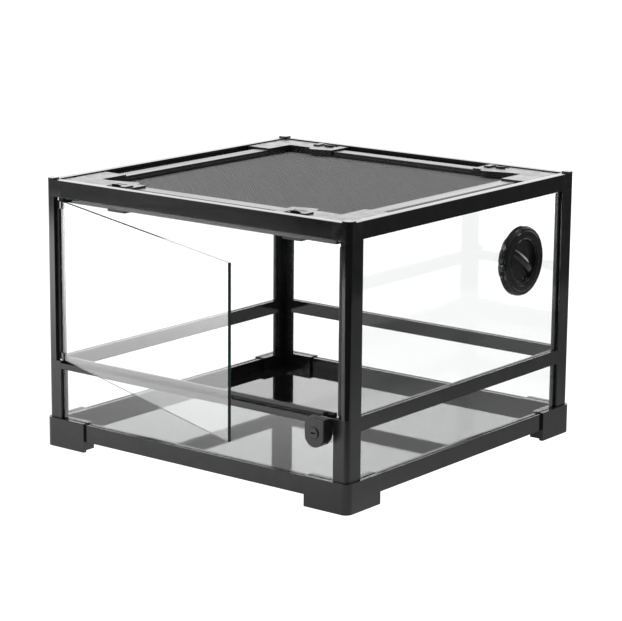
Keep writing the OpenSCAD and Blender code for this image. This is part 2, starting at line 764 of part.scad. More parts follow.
foot(-1, -1);  // foot_front_left
foot(1, -1);  // foot_front_right
foot(-1, 1);  // foot_back_left
foot(1, 1);  // foot_back_right
base_rail(FRONT);  // base_rail_front
base_rail(RIGHT);  // base_rail_right
base_rail(BACK);  // base_rail_back
base_rail(LEFT);  // base_rail_left
floor_panel();
lower_post(-1, -1);  // lower_post_front_left
lower_post(1, -1);  // lower_post_front_right
lower_post(-1, 1);  // lower_post_back_left
lower_post(1, 1);  // lower_post_back_right
lower_glass(FRONT);  // lower_glass_front
lower_glass(RIGHT);  // lower_glass_right
lower_glass(BACK);  // lower_glass_back
lower_glass(LEFT);  // lower_glass_left
sill_rail();
mid_rail(RIGHT);  // mid_rail_right
mid_rail(BACK);  // mid_rail_back
mid_rail(LEFT);  // mid_rail_left
upper_post(-1, -1);  // upper_post_front_left
upper_post(1, -1);  // upper_post_front_right
upper_post(-1, 1);  // upper_post_back_left
upper_post(1, 1);  // upper_post_back_right
upper_glass(RIGHT);  // upper_glass_right
upper_glass(BACK);  // upper_glass_back
upper_glass(LEFT);  // upper_glass_left
rim(FRONT);  // rim_front
rim(RIGHT);  // rim_right
rim(BACK);  // rim_back
rim(LEFT);  // rim_left
rim_cap(-1, -1);  // rim_cap_front_left
rim_cap(1, -1);  // rim_cap_front_right
rim_cap(-1, 1);  // rim_cap_back_left
rim_cap(1, 1);  // rim_cap_back_right
door_glass();
hinge_strip();
hinge_clips();
pivot_pins();
pivot_plugs();
lid_rail(FRONT);  // lid_rail_front
lid_rail(RIGHT);  // lid_rail_right
lid_rail(BACK);  // lid_rail_back
lid_rail(LEFT);  // lid_rail_left
lid_corner(-1, -1);  // lid_corner_front_left
lid_corner(1, -1);  // lid_corner_front_right
lid_corner(-1, 1);  // lid_corner_back_left
lid_corner(1, 1);  // lid_corner_back_right
screen();
lid_latch(-1, -1);  // lid_latch_front_left
lid_latch(1, -1);  // lid_latch_front_right
lid_latch(-1, 1);  // lid_latch_back_left
lid_latch(1, 1);  // lid_latch_back_right
vent_flange();
vent_nut();
vent_knob();
lock_body();
lock_cylinder();
lock_bolt();
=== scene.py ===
"""Front-opening reptile terrarium, finished around its packed construction model.

Each sub-assembly is a class that holds its own sizes and builds and dresses its pieces. New pieces are
surfaces worked out with numpy: an outline carried along a profile, a section turned round an axis, or a
height over a disc. Lengths are metres, +Z is up and the door faces -Y.
"""

import json
import logging
import math
from dataclasses import dataclass, field
from enum import Enum
from typing import Sequence

import bmesh
import bpy
import numpy as np
from mathutils import Matrix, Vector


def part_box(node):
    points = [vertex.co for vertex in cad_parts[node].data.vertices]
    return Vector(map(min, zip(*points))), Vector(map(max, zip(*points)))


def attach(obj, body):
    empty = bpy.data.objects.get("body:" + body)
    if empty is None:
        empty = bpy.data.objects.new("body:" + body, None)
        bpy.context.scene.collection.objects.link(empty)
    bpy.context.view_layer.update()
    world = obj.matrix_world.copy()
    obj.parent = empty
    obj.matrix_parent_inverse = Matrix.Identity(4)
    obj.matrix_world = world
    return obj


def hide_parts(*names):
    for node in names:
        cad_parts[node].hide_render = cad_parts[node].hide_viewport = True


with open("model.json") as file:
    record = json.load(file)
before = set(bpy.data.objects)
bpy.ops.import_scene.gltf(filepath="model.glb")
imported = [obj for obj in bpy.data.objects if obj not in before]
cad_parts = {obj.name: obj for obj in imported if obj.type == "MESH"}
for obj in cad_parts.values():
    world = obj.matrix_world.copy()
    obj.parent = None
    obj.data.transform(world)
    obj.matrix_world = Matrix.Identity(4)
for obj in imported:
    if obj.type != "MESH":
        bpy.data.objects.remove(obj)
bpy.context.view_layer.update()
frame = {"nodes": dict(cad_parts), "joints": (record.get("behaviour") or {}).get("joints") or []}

LOG = logging.getLogger("terrarium")
MM = 0.001
CORNERS = ("front_left", "front_right", "back_left", "back_right")
Faces = list[Sequence[int]]
Socket = bpy.types.NodeSocket
STAND = np.array([[1, 0, 0], [0, 0, 1], [0, 1, 0]])
Z_TO_X = np.array([[0, 0, 1], [1, 0, 0], [0, 1, 0]])
Z_TO_BACK = np.array([[1, 0, 0], [0, 0, 1], [0, -1, 0]])
Z_TO_FRONT = np.array([[1, 0, 0], [0, 0, -1], [0, 1, 0]])
NEAR = 0.1 * MM
SUNK = 0.2 * MM
SAME_POINT = 1e-7
TINY = 1e-9
VECTOR, NUMBER = "NodeSocketVector", "NodeSocketFloat"
DUST_ON_BLACK = (0.30, 0.294, 0.279, 1)
DUST_ON_GLASS = (0.8, 0.8, 0.78, 1)


def turned(angle: float) -> np.ndarray:
    """Matrix that turns points round z by an angle in radians."""
    cos, sin = math.cos(angle), math.sin(angle)
    return np.array([[cos, -sin, 0], [sin, cos, 0], [0, 0, 1]])


class Side(Enum):
    """Sides of the tank, counted from the front, anticlockwise seen from above."""

    FRONT = 0
    RIGHT = 1
    BACK = 2
    LEFT = 3

    @property
    def word(self) -> str:
        """The side's name as the nodes spell it."""
        return self.name.lower()

    @property
    def turn(self) -> np.ndarray:
        """Matrix that turns a piece made for the front onto this side."""
        return turned(self.value * math.pi / 2)

    @property
    def middle_rail(self) -> str:
        """Node of the rail between the lower and the upper glass on this side."""
        return "sill_rail" if self is Side.FRONT else f"mid_rail_{self.word}"

    @property
    def run(self) -> "Run":
        """Axis of the rails on this side."""
        return Run.ALONG_X if self in (Side.FRONT, Side.BACK) else Run.ALONG_Y


class Run(Enum):
    """Axis along which a bar was drawn, as the stretch of its grain in x, y and z."""

    ALONG_X = (0.04, 1.0, 1.0)
    ALONG_Y = (1.0, 0.04, 1.0)
    ALONG_Z = (1.0, 1.0, 0.04)
    MOULDED = (1.0, 1.0, 1.0)


# ---- Shapes ----
@dataclass
class Shape:
    """Points and faces of a surface, with the number of each face's material."""

    points: np.ndarray
    faces: Faces
    marks: list[int] = field(default_factory=list)

    def moved(self, turn: np.ndarray, shift: Sequence[float] = (0, 0, 0)) -> "Shape":
        """The shape turned by a 3 x 3 matrix and then shifted."""
        return Shape(self.points @ np.asarray(turn).T + np.asarray(shift), self.faces, self.marks)


def unit(vectors: np.ndarray) -> np.ndarray:
    """Vectors scaled to length one."""
    return vectors / np.linalg.norm(vectors, axis=-1, keepdims=True)


def smooth_step(x: np.ndarray) -> np.ndarray:
    """Rises from 0 to 1 over x from 0 to 1, flat at both ends: 3x^2 - 2x^3."""
    x = np.clip(x, 0, 1)
    return x * x * (3 - 2 * x)


def rounded(corners: Sequence[tuple[float, float, float]], steps: int = 5) -> np.ndarray:
    """Closed outline with rounded corners.

    The arc of a corner P of radius r has its centre on the bisector, r / sin(half the angle) from P. It runs
    between the two touching points, which are turned into each other with sine weights.

    Args:
        corners: x, y and radius of each corner, anticlockwise.
        steps: chords in each arc.

    Returns:
        Points of the outline, one row each.
    """
    table = np.asarray(corners, float)
    point, radius = table[:, :2], table[:, 2:]
    back = unit(np.roll(point, 1, axis=0) - point)
    ahead = unit(np.roll(point, -1, axis=0) - point)
    half = np.arccos(np.clip((back * ahead).sum(1, keepdims=True), -1, 1)) / 2
    centre = point + unit(back + ahead) * radius / np.sin(half)
    start = point + back * radius / np.tan(half) - centre
    end = point + ahead * radius / np.tan(half) - centre
    share = np.linspace(0, 1, steps + 1)
    turn = np.pi - 2 * half
    first = (np.sin((1 - share) * turn) / np.sin(turn))[..., None]
    last = (np.sin(share * turn) / np.sin(turn))[..., None]
    outline = (centre[:, None] + start[:, None] * first + end[:, None] * last).reshape(-1, 2)
    fresh = np.linalg.norm(outline - np.roll(outline, 1, axis=0), axis=1) > SAME_POINT
    return outline[fresh]


def rectangle(low: Sequence[float], high: Sequence[float]) -> np.ndarray:
    """Corners of a rectangle, anticlockwise from the lowest one."""
    return np.array([[low[0], low[1]], [high[0], low[1]], [high[0], high[1]], [low[0], high[1]]])


def rounded_rectangle(low: Sequence[float], high: Sequence[float], radii: Sequence[float],
                      steps: int = 5) -> np.ndarray:
    """Outline of a rectangle with a radius for each corner, anticlockwise from the lowest one."""
    return rounded(np.column_stack([rectangle(low, high), radii]), steps)


def inset(outline: np.ndarray, amount: np.ndarray) -> np.ndarray:
    """Moves an anticlockwise outline inwards, once for each amount.

    A point moves by amount * (n + m) / (1 + n . m), where n and m are the inward normals of its two edges.

    Args:
        outline: points of the outline, one row each.
        amount: distances.

    Returns:
        Array of outlines: amount, point, coordinate.
    """
    edge = unit(np.roll(outline, -1, axis=0) - outline)
    after = np.stack([-edge[:, 1], edge[:, 0]], axis=1)
    before = np.roll(after, 1, axis=0)
    mitre = (before + after) / (1 + (before * after).sum(1, keepdims=True))
    return outline[None] + np.asarray(amount)[:, None, None] * mitre[None]


def grid_faces(rows: int, columns: int, wrap: bool = False) -> np.ndarray:
    """Quads of a grid whose point (i, j) has number i * columns + j.

    Args:
        rows: points down.
        columns: points across.
        wrap: whether the last column joins the first one.

    Returns:
        Array of four point numbers a row.
    """
    down = np.arange(rows - 1)[:, None]
    across = np.arange(columns if wrap else columns - 1)[None]
    beside = (across + 1) % columns
    quads = [down * columns + across, down * columns + beside, (down + 1) * columns + beside,
             (down + 1) * columns + across]
    return np.stack(np.broadcast_arrays(*quads), axis=-1).reshape(-1, 4)


def capped_faces(rows: int, columns: int) -> Faces:
    """Faces of a tube of closed rows, with a cap on its first and last row."""
    last = (rows - 1) * columns
    caps = [list(range(columns))[::-1], list(range(last, last + columns))]
    return grid_faces(rows, columns, wrap=True).tolist() + caps


def ring_faces(rows: int, columns: int) -> Faces:
    """Faces of a grid that closes both across and from the last row to the first one.

    Args:
        rows: points down.
        columns: points across.

    Returns:
        The faces.
    """
    last = (rows - 1) * columns
    across = np.arange(columns)
    beside = (across + 1) % columns
    closing = np.stack([last + across, last + beside, beside, across], axis=1)
    return grid_faces(rows, columns, wrap=True).tolist() + closing.tolist()


def loft(outline: np.ndarray, profile: Sequence[tuple[float, float]]) -> Shape:
    """Solid whose outline is moved inwards and upwards along a profile.

    P(t, s) = (outline(s) inset by profile(t)'s first value, profile(t)'s second value).

    Args:
        outline: anticlockwise outline in x and y.
        profile: inset and height of each ring, upwards.

    Returns:
        The solid, standing along z.
    """
    steps = np.asarray(profile, float)
    rings = inset(outline, steps[:, 0])
    heights = np.broadcast_to(steps[:, None, 1:], rings.shape[:2] + (1,))
    points = np.concatenate([rings, heights], axis=2).reshape(-1, 3)
    return Shape(points, capped_faces(len(steps), len(outline)))


def round_ends(low: float, high: float, edge: float, steps: int = 3) -> list[tuple[float, float]]:
    """Profile of a bar whose two ends have rounded edges: quarter circles of radius edge.

    Args:
        low: height of the lower end.
        high: height of the upper end.
        edge: radius of the edges.
        steps: chords in each quarter circle.

    Returns:
        Inset and height pairs for loft.
    """
    angle = np.linspace(0, math.pi / 2, steps + 1)
    inwards, up = edge * (1 - np.sin(angle)), edge * (1 - np.cos(angle))
    lower = list(zip(inwards, low + up))
    upper = list(zip(inwards[::-1], high - up[::-1]))
    return lower + upper


def revolve(section: np.ndarray, count: int = 128) -> Shape:
    """Closed ring: a closed section of radius and height turned round z.

    P(a, t) = (r(t) cos a, r(t) sin a, h(t)).

    Args:
        section: radius and height of each point of the closed section.
        count: steps round the circle.

    Returns:
        The ring.
    """
    angle = np.linspace(0, 2 * math.pi, count, endpoint=False)[:, None]
    radius, height = section[None, :, 0], section[None, :, 1]
    points = np.stack(np.broadcast_arrays(radius * np.cos(angle), radius * np.sin(angle), height), axis=-1)
    return Shape(points.reshape(-1, 3), ring_faces(count, len(section)))


def stack(rings: Sequence[tuple[np.ndarray, float]]) -> Shape:
    """Closed ring whose section is given by plane outlines, each with its height.

    Args:
        rings: outline and height of each point of the section, all with the same number of points.

    Returns:
        The ring.
    """
    points = [np.column_stack([outline, np.full(len(outline), height)]) for outline, height in rings]
    return Shape(np.concatenate(points), ring_faces(len(rings), len(points[0])))


def circle_with(steps: int, extra: Sequence[float]) -> np.ndarray:
    """Angles of a circle's steps and a few more, in order."""
    return np.unique(np.concatenate([np.linspace(0, 2 * math.pi, steps, endpoint=False), extra]))


def rays(angle: np.ndarray) -> np.ndarray:
    """Unit vectors in a plane at the given angles, one row each."""
    return np.stack([np.cos(angle), np.sin(angle)], axis=1)


def extent(points: np.ndarray) -> tuple[np.ndarray, np.ndarray]:
    """Lowest and highest corner of points."""
    return points.min(axis=0), points.max(axis=0)


def near_plane(points: np.ndarray, axis: int, place: float) -> np.ndarray:
    """The points that lie on a plane across an axis, to within a tenth of a millimetre."""
    return points[np.abs(points[:, axis] - place) < NEAR]


def node_points(node: str) -> np.ndarray:
    """Corner points of a construction node.

    Args:
        node: the node's name.

    Returns:
        The points at rest, one row each.
    """
    mesh = frame["nodes"][node].data
    points = np.zeros(3 * len(mesh.vertices), np.float32)
    mesh.vertices.foreach_get("co", points)
    return points.reshape(-1, 3).astype(float)


def node_box(node: str) -> tuple[np.ndarray, np.ndarray]:
    """Lowest and highest corner of a construction node at rest."""
    low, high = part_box(node)
    return np.array(low), np.array(high)


def joint(name: str) -> dict:
    """The frame's entry of a joint."""
    return next(entry for entry in frame["joints"] if entry["name"] == name)


def placed(x: np.ndarray, y: np.ndarray, z: np.ndarray, place: Sequence[float]) -> Matrix:
    """Matrix of an object at a place, with its axes along three vectors."""
    return Matrix.Translation(tuple(place)) @ Matrix(np.column_stack([x, y, z]).tolist()).to_4x4()


def add_object(name: str, data: bpy.types.ID) -> bpy.types.Object:
    """New object in the scene that shows a mesh, a lamp or a camera."""
    added = bpy.data.objects.new(name, data)
    bpy.context.scene.collection.objects.link(added)
    return added


def even_normals(piece: bpy.types.Object, keep_sharp: bool) -> None:
    """Lets a vertex take its normal from the largest faces around it."""
    even = piece.modifiers.new("even_normals", "WEIGHTED_NORMAL")
    even.keep_sharp = keep_sharp
    even.weight = 100


def make_piece(name: str, shape: Shape, finishes: Sequence[bpy.types.Material], body: str = "tank",
               stands_for: Sequence[str] = (), sharp: float = 32.0,
               even: bool = True) -> None:
    """Turns a shape into a piece that rides on a body.

    Args:
        name: the piece's name.
        shape: its surface.
        finishes: its materials, in the order of the shape's marks.
        body: the construction body that it rides on.
        stands_for: construction nodes that it replaces.
        sharp: edges that turn by more degrees than this stay sharp.
        even: whether large faces keep flat normals beside rounded edges.
    """
    mesh = bpy.data.meshes.new(name)
    mesh.from_pydata(shape.points.tolist(), [], shape.faces)
    work = bmesh.new()
    work.from_mesh(mesh)
    bmesh.ops.recalc_face_normals(work, faces=work.faces)
    work.to_mesh(mesh)
    work.free()
    mesh.polygons.foreach_set("use_smooth", np.ones(len(mesh.polygons), bool))
    if shape.marks:
        mesh.polygons.foreach_set("material_index", np.array(shape.marks, np.int32))
    mesh.set_sharp_from_angle(angle=math.radians(sharp))
    for finish in finishes:
        mesh.materials.append(finish)
    piece = add_object(name, mesh)
    if even:
        even_normals(piece, keep_sharp=True)
    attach(piece, body)
    if stands_for:
        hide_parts(*stands_for)
    LOG.info("%s: %d faces on %s", name, len(mesh.polygons), body)


def soften(piece: bpy.types.Object, width: float) -> None:
    """Rounds a piece's sharp edges with a Bevel modifier, and evens its normals.

    Args:
        piece: the object.
        width: radius of the rounding.
    """
    bevel = piece.modifiers.new("soft_edges", "BEVEL")
    bevel.width = width
    bevel.segments = 2
    bevel.limit_method = "ANGLE"
    bevel.angle_limit = math.radians(35)
    bevel.use_clamp_overlap = True
    even_normals(piece, keep_sharp=False)


def carry_over(node: str, finish: bpy.types.Material, edge: float) -> None:
    """Keeps a construction node as it is, with a finish and softly rounded edges.

    Args:
        node: the node's name.
        finish: its material.
        edge: radius of its edges.
    """
    piece = frame["nodes"][node]
    piece.material_slots[0].link = "OBJECT"
    piece.material_slots[0].material = finish
    weld = piece.modifiers.new("weld", "WELD")
    weld.merge_threshold = 0.01 * MM
    flatten = piece.modifiers.new("flat_faces", "DECIMATE")
    flatten.decimate_type = "DISSOLVE"
    flatten.angle_limit = math.radians(0.6)
    soften(piece, edge)
    LOG.info("%s: carried over", node)


# ---- Shader nodes ----
class Graph:
    """Adds shader nodes to a tree and links them."""

    def __init__(self, tree: bpy.types.NodeTree) -> None:
        """Takes the tree that the nodes go into."""
        self.tree = tree

    def add(self, kind: str, inputs: dict | None = None, **settings: object) -> bpy.types.Node:
        """Adds one node.

        Args:
            kind: Blender's name of the node type.
            inputs: a value or a socket for each input, by name or number.
            settings: the node's own properties.

        Returns:
            The node.
        """
        node = self.tree.nodes.new(kind)
        for key, value in settings.items():
            setattr(node, key, value)
        self.fill(node, inputs or {})
        return node

    def fill(self, node: bpy.types.Node, inputs: dict) -> None:
        """Gives a node's inputs their values, or links them to sockets.

        Args:
            node: the node.
            inputs: a value or a socket for each input, by name or number.
        """
        for key, value in inputs.items():
            if isinstance(value, Socket):
                self.tree.links.new(value, node.inputs[key])
            else:
                node.inputs[key].default_value = value

    def first(self, kind: str) -> bpy.types.Node:
        """First node of a type that the tree holds already."""
        return next(node for node in self.tree.nodes if node.type == kind)

    def math(self, operation: str, first: object, second: object = 0.0, clamp: bool = False) -> Socket:
        """Output of a Math node with one or two inputs."""
        node = self.add("ShaderNodeMath", {0: first, 1: second}, operation=operation, use_clamp=clamp)
        return node.outputs[0]

    def times(self, first: object, *others: object) -> Socket:
        """Product of values, multiplied in order."""
        for other in others:
            first = self.math("MULTIPLY", first, other)
        return first

    def plus(self, first: object, *others: object) -> Socket:
        """Sum of values, added in order."""
        for other in others:
            first = self.math("ADD", first, other)
        return first

    def height(self, vector: Socket) -> Socket:
        """Z of a vector."""
        return self.add("ShaderNodeSeparateXYZ", {0: vector}).outputs["Z"]

    def dot(self, first: object, second: object) -> Socket:
        """Scalar product of two vectors."""
        node = self.add("ShaderNodeVectorMath", {0: first, 1: second}, operation="DOT_PRODUCT")
        return node.outputs["Value"]

    def ramp(self, value: object, low: float, high: float, to_low: float = 0.0,
             to_high: float = 1.0) -> Socket:
        """Output of a smooth Map Range node from low..high to to_low..to_high."""
        inputs = {"Value": value, "From Min": low, "From Max": high, "To Min": to_low, "To Max": to_high}
        return self.add("ShaderNodeMapRange", inputs, interpolation_type="SMOOTHSTEP").outputs["Result"]

    def noise(self, place: Socket, scale: object, detail: float = 2.0) -> Socket:
        """Output of a Noise node."""
        return self.add("ShaderNodeTexNoise", {"Vector": place, "Scale": scale, "Detail": detail}).outputs[0]

    def mix(self, factor: Socket, first: object, second: object) -> Socket:
        """Mixture of two colours."""
        return self.add("ShaderNodeMixRGB", {0: factor, 1: first, 2: second}).outputs[0]

    def bump(self, height: Socket, strength: float, distance: float) -> Socket:
        """Normal of a Bump node."""
        inputs = {"Strength": strength, "Distance": distance, "Height": height}
        return self.add("ShaderNodeBump", inputs).outputs[0]

    def place(self) -> Socket:
        """Object coordinates."""
        return self.add("ShaderNodeTexCoord").outputs["Object"]

    def group(self, tree: bpy.types.NodeTree, inputs: dict) -> bpy.types.Node:
        """Places a shared effect with its own values."""
        return self.add("ShaderNodeGroup", inputs, node_tree=tree)


def new_effect(name: str, inputs: dict[str, str],
               outputs: dict[str, str]) -> tuple[Graph, bpy.types.bpy_prop_collection, bpy.types.Node]:
    """Starts a shader node group.

    Args:
        name: the group's name.
        inputs: socket type of each input, by name.
        outputs: socket type of each output, by name.

    Returns:
        A Graph on its tree, the sockets of its input node and its output node.
    """
    tree = bpy.data.node_groups.new(name, "ShaderNodeTree")
    for way, sockets in (("INPUT", inputs), ("OUTPUT", outputs)):
        for key, kind in sockets.items():
            tree.interface.new_socket(key, in_out=way, socket_type=kind)
    given, result = tree.nodes.new("NodeGroupInput"), tree.nodes.new("NodeGroupOutput")
    return Graph(tree), given.outputs, result


def new_mask(name: str) -> tuple[Graph, Socket, Socket, bpy.types.Node]:
    """Starts a group that gives a mask: its Graph, its Vector, its Amount and its output node."""
    graph, given, result = new_effect(name, {"Vector": VECTOR, "Amount": NUMBER}, {"Mask": NUMBER})
    return graph, given["Vector"], given["Amount"], result


class Effects:
    """Shader node groups that several finishes share."""

    def __init__(self) -> None:
        """Builds each group once."""
        self.grain = self._grain()
        self.scuffs = self._scuffs()
        self.dust = self._dust()
        self.edges = self._edges()

    @staticmethod
    def _grain() -> bpy.types.NodeTree:
        """Fine uneven skin of plastic: two noises, stretched along the bar by Stretch."""
        inputs = {"Vector": VECTOR, "Stretch": VECTOR, "Size": NUMBER}
        graph, given, result = new_effect("plastic_grain", inputs, {"Height": NUMBER, "Wave": NUMBER})
        stretched = graph.add("ShaderNodeVectorMath", {0: given["Vector"], 1: given["Stretch"]},
                              operation="MULTIPLY").outputs[0]
        scale = graph.math("DIVIDE", 1.0, given["Size"])
        fine = graph.noise(stretched, scale, 3.0)
        coarse = graph.noise(stretched, graph.times(scale, 0.03))
        graph.fill(result, {"Height": fine, "Wave": coarse})
        return graph.tree

    @staticmethod
    def _scuffs() -> bpy.types.NodeTree:
        """Sparse hairline marks: thin ridges of a warped wave, kept where a slow noise is high."""
        graph, vector, amount, result = new_mask("hairline_scuffs")
        inputs = {"Vector": vector, "Scale": 22.0, "Distortion": 9.0, "Detail": 3.0, "Detail Scale": 1.3}
        wave = graph.add("ShaderNodeTexWave", inputs, wave_profile="SIN").outputs["Fac"]
        thin = graph.ramp(wave, 0.985, 1.0)
        where = graph.ramp(graph.noise(vector, 9.0), 0.52, 0.72)
        graph.fill(result, {"Mask": graph.times(thin, where, amount)})
        return graph.tree

    @staticmethod
    def _dust() -> bpy.types.NodeTree:
        """Thin dust on faces that look up: the normal's height times a speckled noise."""
        graph, vector, amount, result = new_mask("settled_dust")
        up = graph.ramp(graph.height(graph.add("ShaderNodeNewGeometry").outputs["Normal"]), 0.4, 1.0)
        specks, cloud = graph.noise(vector, 700.0), graph.noise(vector, 14.0, 3.0)
        speckled = graph.times(graph.ramp(specks, 0.5, 0.75), graph.ramp(cloud, 0.35, 0.7, 0.25, 1.0), up)
        graph.fill(result, {"Mask": graph.math("MULTIPLY", speckled, amount, clamp=True)})
        return graph.tree

    @staticmethod
    def _edges() -> bpy.types.NodeTree:
        """Edges rubbed smooth: convex pointiness, broken up by noise."""
        graph, vector, amount, result = new_mask("rubbed_edges")
        edge = graph.ramp(graph.add("ShaderNodeNewGeometry").outputs["Pointiness"], 0.52, 0.6)
        broken = graph.times(edge, graph.ramp(graph.noise(vector, 60.0, 3.0), 0.3, 0.7))
        graph.fill(result, {"Mask": graph.math("MULTIPLY", broken, amount, clamp=True)})
        return graph.tree


class Paint(Graph):
    """Nodes of a new material, with its Principled shader and its output."""

    def __init__(self, name: str) -> None:
        """Starts the material."""
        self.material = bpy.data.materials.new(name)
        self.material.use_nodes = True
        super().__init__(self.material.node_tree)
        self.shader = self.first("BSDF_PRINCIPLED")
        self.output = self.first("OUTPUT_MATERIAL")

    def mask(self, effect: bpy.types.NodeTree, place: Socket, amount: float) -> Socket:
        """Mask that a shared effect gives."""
        return self.group(effect, {"Vector": place, "Amount": amount}).outputs["Mask"]

    def grain(self, effect: bpy.types.NodeTree, place: Socket, run: Run,
              size: float) -> tuple[Socket, Socket]:
        """Fine height and slow wave of the shared grain, drawn along a bar."""
        skin = self.group(effect, {"Vector": place, "Stretch": run.value, "Size": size}).outputs
        return skin["Height"], skin["Wave"]

    def finish(self, inputs: dict) -> bpy.types.Material:
        """Fills the shader's inputs and gives the material."""
        self.fill(self.shader, inputs)
        return self.material


@dataclass(frozen=True)
class Plastic:
    """Black plastic, drawn or moulded: a dark body under a sharp skin with grain, scuffs and dust."""

    name: str
    body: float
    roughness: float
    run: Run = Run.MOULDED
    grain: float = 0.5 * MM
    relief: float = 0.004 * MM
    scuffs: float = 0.5
    dust: float = 0.02
    ior: float = 1.5
    rubbed: float = 0.5
    worn: tuple[float, float, float] = (0.02, 0.02, 0.021)
    coat: float = 0.0

    def material(self, effects: Effects) -> bpy.types.Material:
        """Builds the material: dust over the body, worn edges, and a skin that scuffs and dust make rougher.

        Args:
            effects: the shared node groups.

        Returns:
            The material.
        """
        paint = Paint(self.name)
        place = paint.place()
        height, wave = paint.grain(effects.grain, place, self.run, self.grain)
        scuffs = paint.mask(effects.scuffs, place, self.scuffs)
        dust = paint.mask(effects.dust, place, self.dust)
        rubbed = paint.mask(effects.edges, place, self.rubbed)
        base = paint.mix(dust, (self.body, self.body, 1.03 * self.body, 1), DUST_ON_BLACK)
        worn = paint.mix(rubbed, base, (*self.worn, 1))
        wavy = paint.ramp(wave, 0.3, 0.7, 0.85 * self.roughness, 1.15 * self.roughness)
        scratched = paint.plus(wavy, paint.times(scuffs, 0.12))
        rough = paint.math("ADD", scratched, paint.times(dust, 2.0), clamp=True)
        return paint.finish({"Base Color": worn, "Roughness": rough, "IOR": self.ior,
                             "Coat Weight": self.coat, "Normal": paint.bump(height, 0.35, self.relief)})


@dataclass(frozen=True)
class Glass:
    """Clear float glass. Light for shadows passes straight through it."""

    name: str
    tint: tuple[float, float, float]
    roughness: float = 0.0
    ior: float = 1.5
    dust: float = 0.05

    def material(self, effects: Effects) -> bpy.types.Material:
        """Builds the material: tinted glass under dust, seen as plain tint by shadow and diffuse rays.

        Args:
            effects: the shared node groups.

        Returns:
            The material.
        """
        paint = Paint(self.name)
        dust = paint.mask(effects.dust, paint.place(), self.dust)
        tinted = paint.mix(dust, (*self.tint, 1), DUST_ON_GLASS)
        clear = paint.add("ShaderNodeBsdfTransparent", {"Color": (*self.tint, 1)})
        ray = paint.add("ShaderNodeLightPath").outputs
        blocked = paint.math("MAXIMUM", ray["Is Shadow Ray"], ray["Is Diffuse Ray"])
        inputs = {0: blocked, 1: paint.shader.outputs[0], 2: clear.outputs[0]}
        paint.fill(paint.output, {"Surface": paint.add("ShaderNodeMixShader", inputs).outputs[0]})
        return paint.finish({"Base Color": tinted, "Transmission Weight": 1.0, "Roughness": self.roughness,
                             "IOR": self.ior})


@dataclass(frozen=True)
class Metal:
    """Bare or coated metal with drawn lines."""

    name: str
    colour: tuple[float, float, float]
    roughness: float
    metallic: float = 1.0
    run: Run = Run.ALONG_Z
    grain: float = 0.2 * MM
    relief: float = 0.004 * MM

    def material(self, effects: Effects) -> bpy.types.Material:
        """Builds the material: colour and roughness that change with the grain.

        Args:
            effects: the shared node groups.

        Returns:
            The material.
        """
        paint = Paint(self.name)
        height, wave = paint.grain(effects.grain, paint.place(), self.run, self.grain)
        dark = (*(0.86 * c for c in self.colour), 1)
        colour = paint.mix(paint.ramp(wave, 0.3, 0.7), dark, (*self.colour, 1))
        rough = paint.ramp(height, 0.3, 0.7, 0.8 * self.roughness, 1.2 * self.roughness)
        return paint.finish({"Base Color": colour, "Metallic": self.metallic, "Roughness": rough,
                             "Normal": paint.bump(height, 0.3, self.relief)})


class Finishes:
    """Every finish on the terrarium, built once."""

    def __init__(self) -> None:
        """Builds the materials."""
        effects = Effects()
        self.drawn = {
            run: Plastic(f"frame_{run.name.lower()}", 0.005, 0.10, run).material(effects)
            for run in (Run.ALONG_X, Run.ALONG_Y, Run.ALONG_Z)}
        self.moulded = Plastic("frame_moulded", 0.005, 0.12).material(effects)
        self.lid_drawn = {
            run: Plastic(f"lid_{run.name.lower()}", 0.006, 0.22, run, dust=0.03).material(effects)
            for run in (Run.ALONG_X, Run.ALONG_Y)}
        self.lid_moulded = Plastic("lid_moulded", 0.006, 0.24, dust=0.03).material(effects)
        self.latch = Plastic("latch_satin", 0.008, 0.30, grain=0.4 * MM, relief=0.01 * MM).material(effects)
        self.vent = Plastic("vent_moulded", 0.008, 0.11, scuffs=0.05).material(effects)
        self.nut = Plastic("vent_nut_satin", 0.022, 0.30, scuffs=0.0).material(effects)
        self.post_satin = Plastic("post_satin", 0.008, 0.33, Run.ALONG_Z).material(effects)
        # The beads' black is lighter than the frame's: painted light for the glow on them beside the back
        # posts.
        self.bead = Plastic("glazing_bead", 0.014, 0.20, Run.ALONG_Z).material(effects)
        self.gasket = Plastic("door_gasket", 0.006, 0.60, Run.ALONG_Z, scuffs=0.0).material(effects)
        self.strip = Plastic("hinge_strip", 0.010, 0.28, Run.ALONG_Z).material(effects)
        self.lock_body = Plastic("lock_body", 0.005, 0.25).material(effects)
        self.lock_core = Plastic("lock_core", 0.012, 0.30, relief=0.01 * MM).material(effects)
        self.floor = Plastic("floor_gloss", 0.004, 0.03, relief=0.0005 * MM, scuffs=0.15, dust=0.008,
                             ior=3.0).material(effects)
        clear = Glass("clear_glass", (0.985, 0.993, 0.99), ior=1.62).material(effects)
        ground_edge = Plastic("glass_edge", 0.03, 0.08, relief=0.002 * MM, worn=(0.02, 0.09, 0.085),
                              coat=0.5).material(effects)
        self.pane = (clear, ground_edge)
        # The wire's grey is lighter than its black coating: painted sheen of the fine mesh's grazing
        # reflections.
        self.wire = Metal("coated_wire", (0.15, 0.15, 0.15), 0.35, 0.0, Run.MOULDED).material(effects)
        self.steel = Metal("steel", (0.72, 0.72, 0.73), 0.25).material(effects)


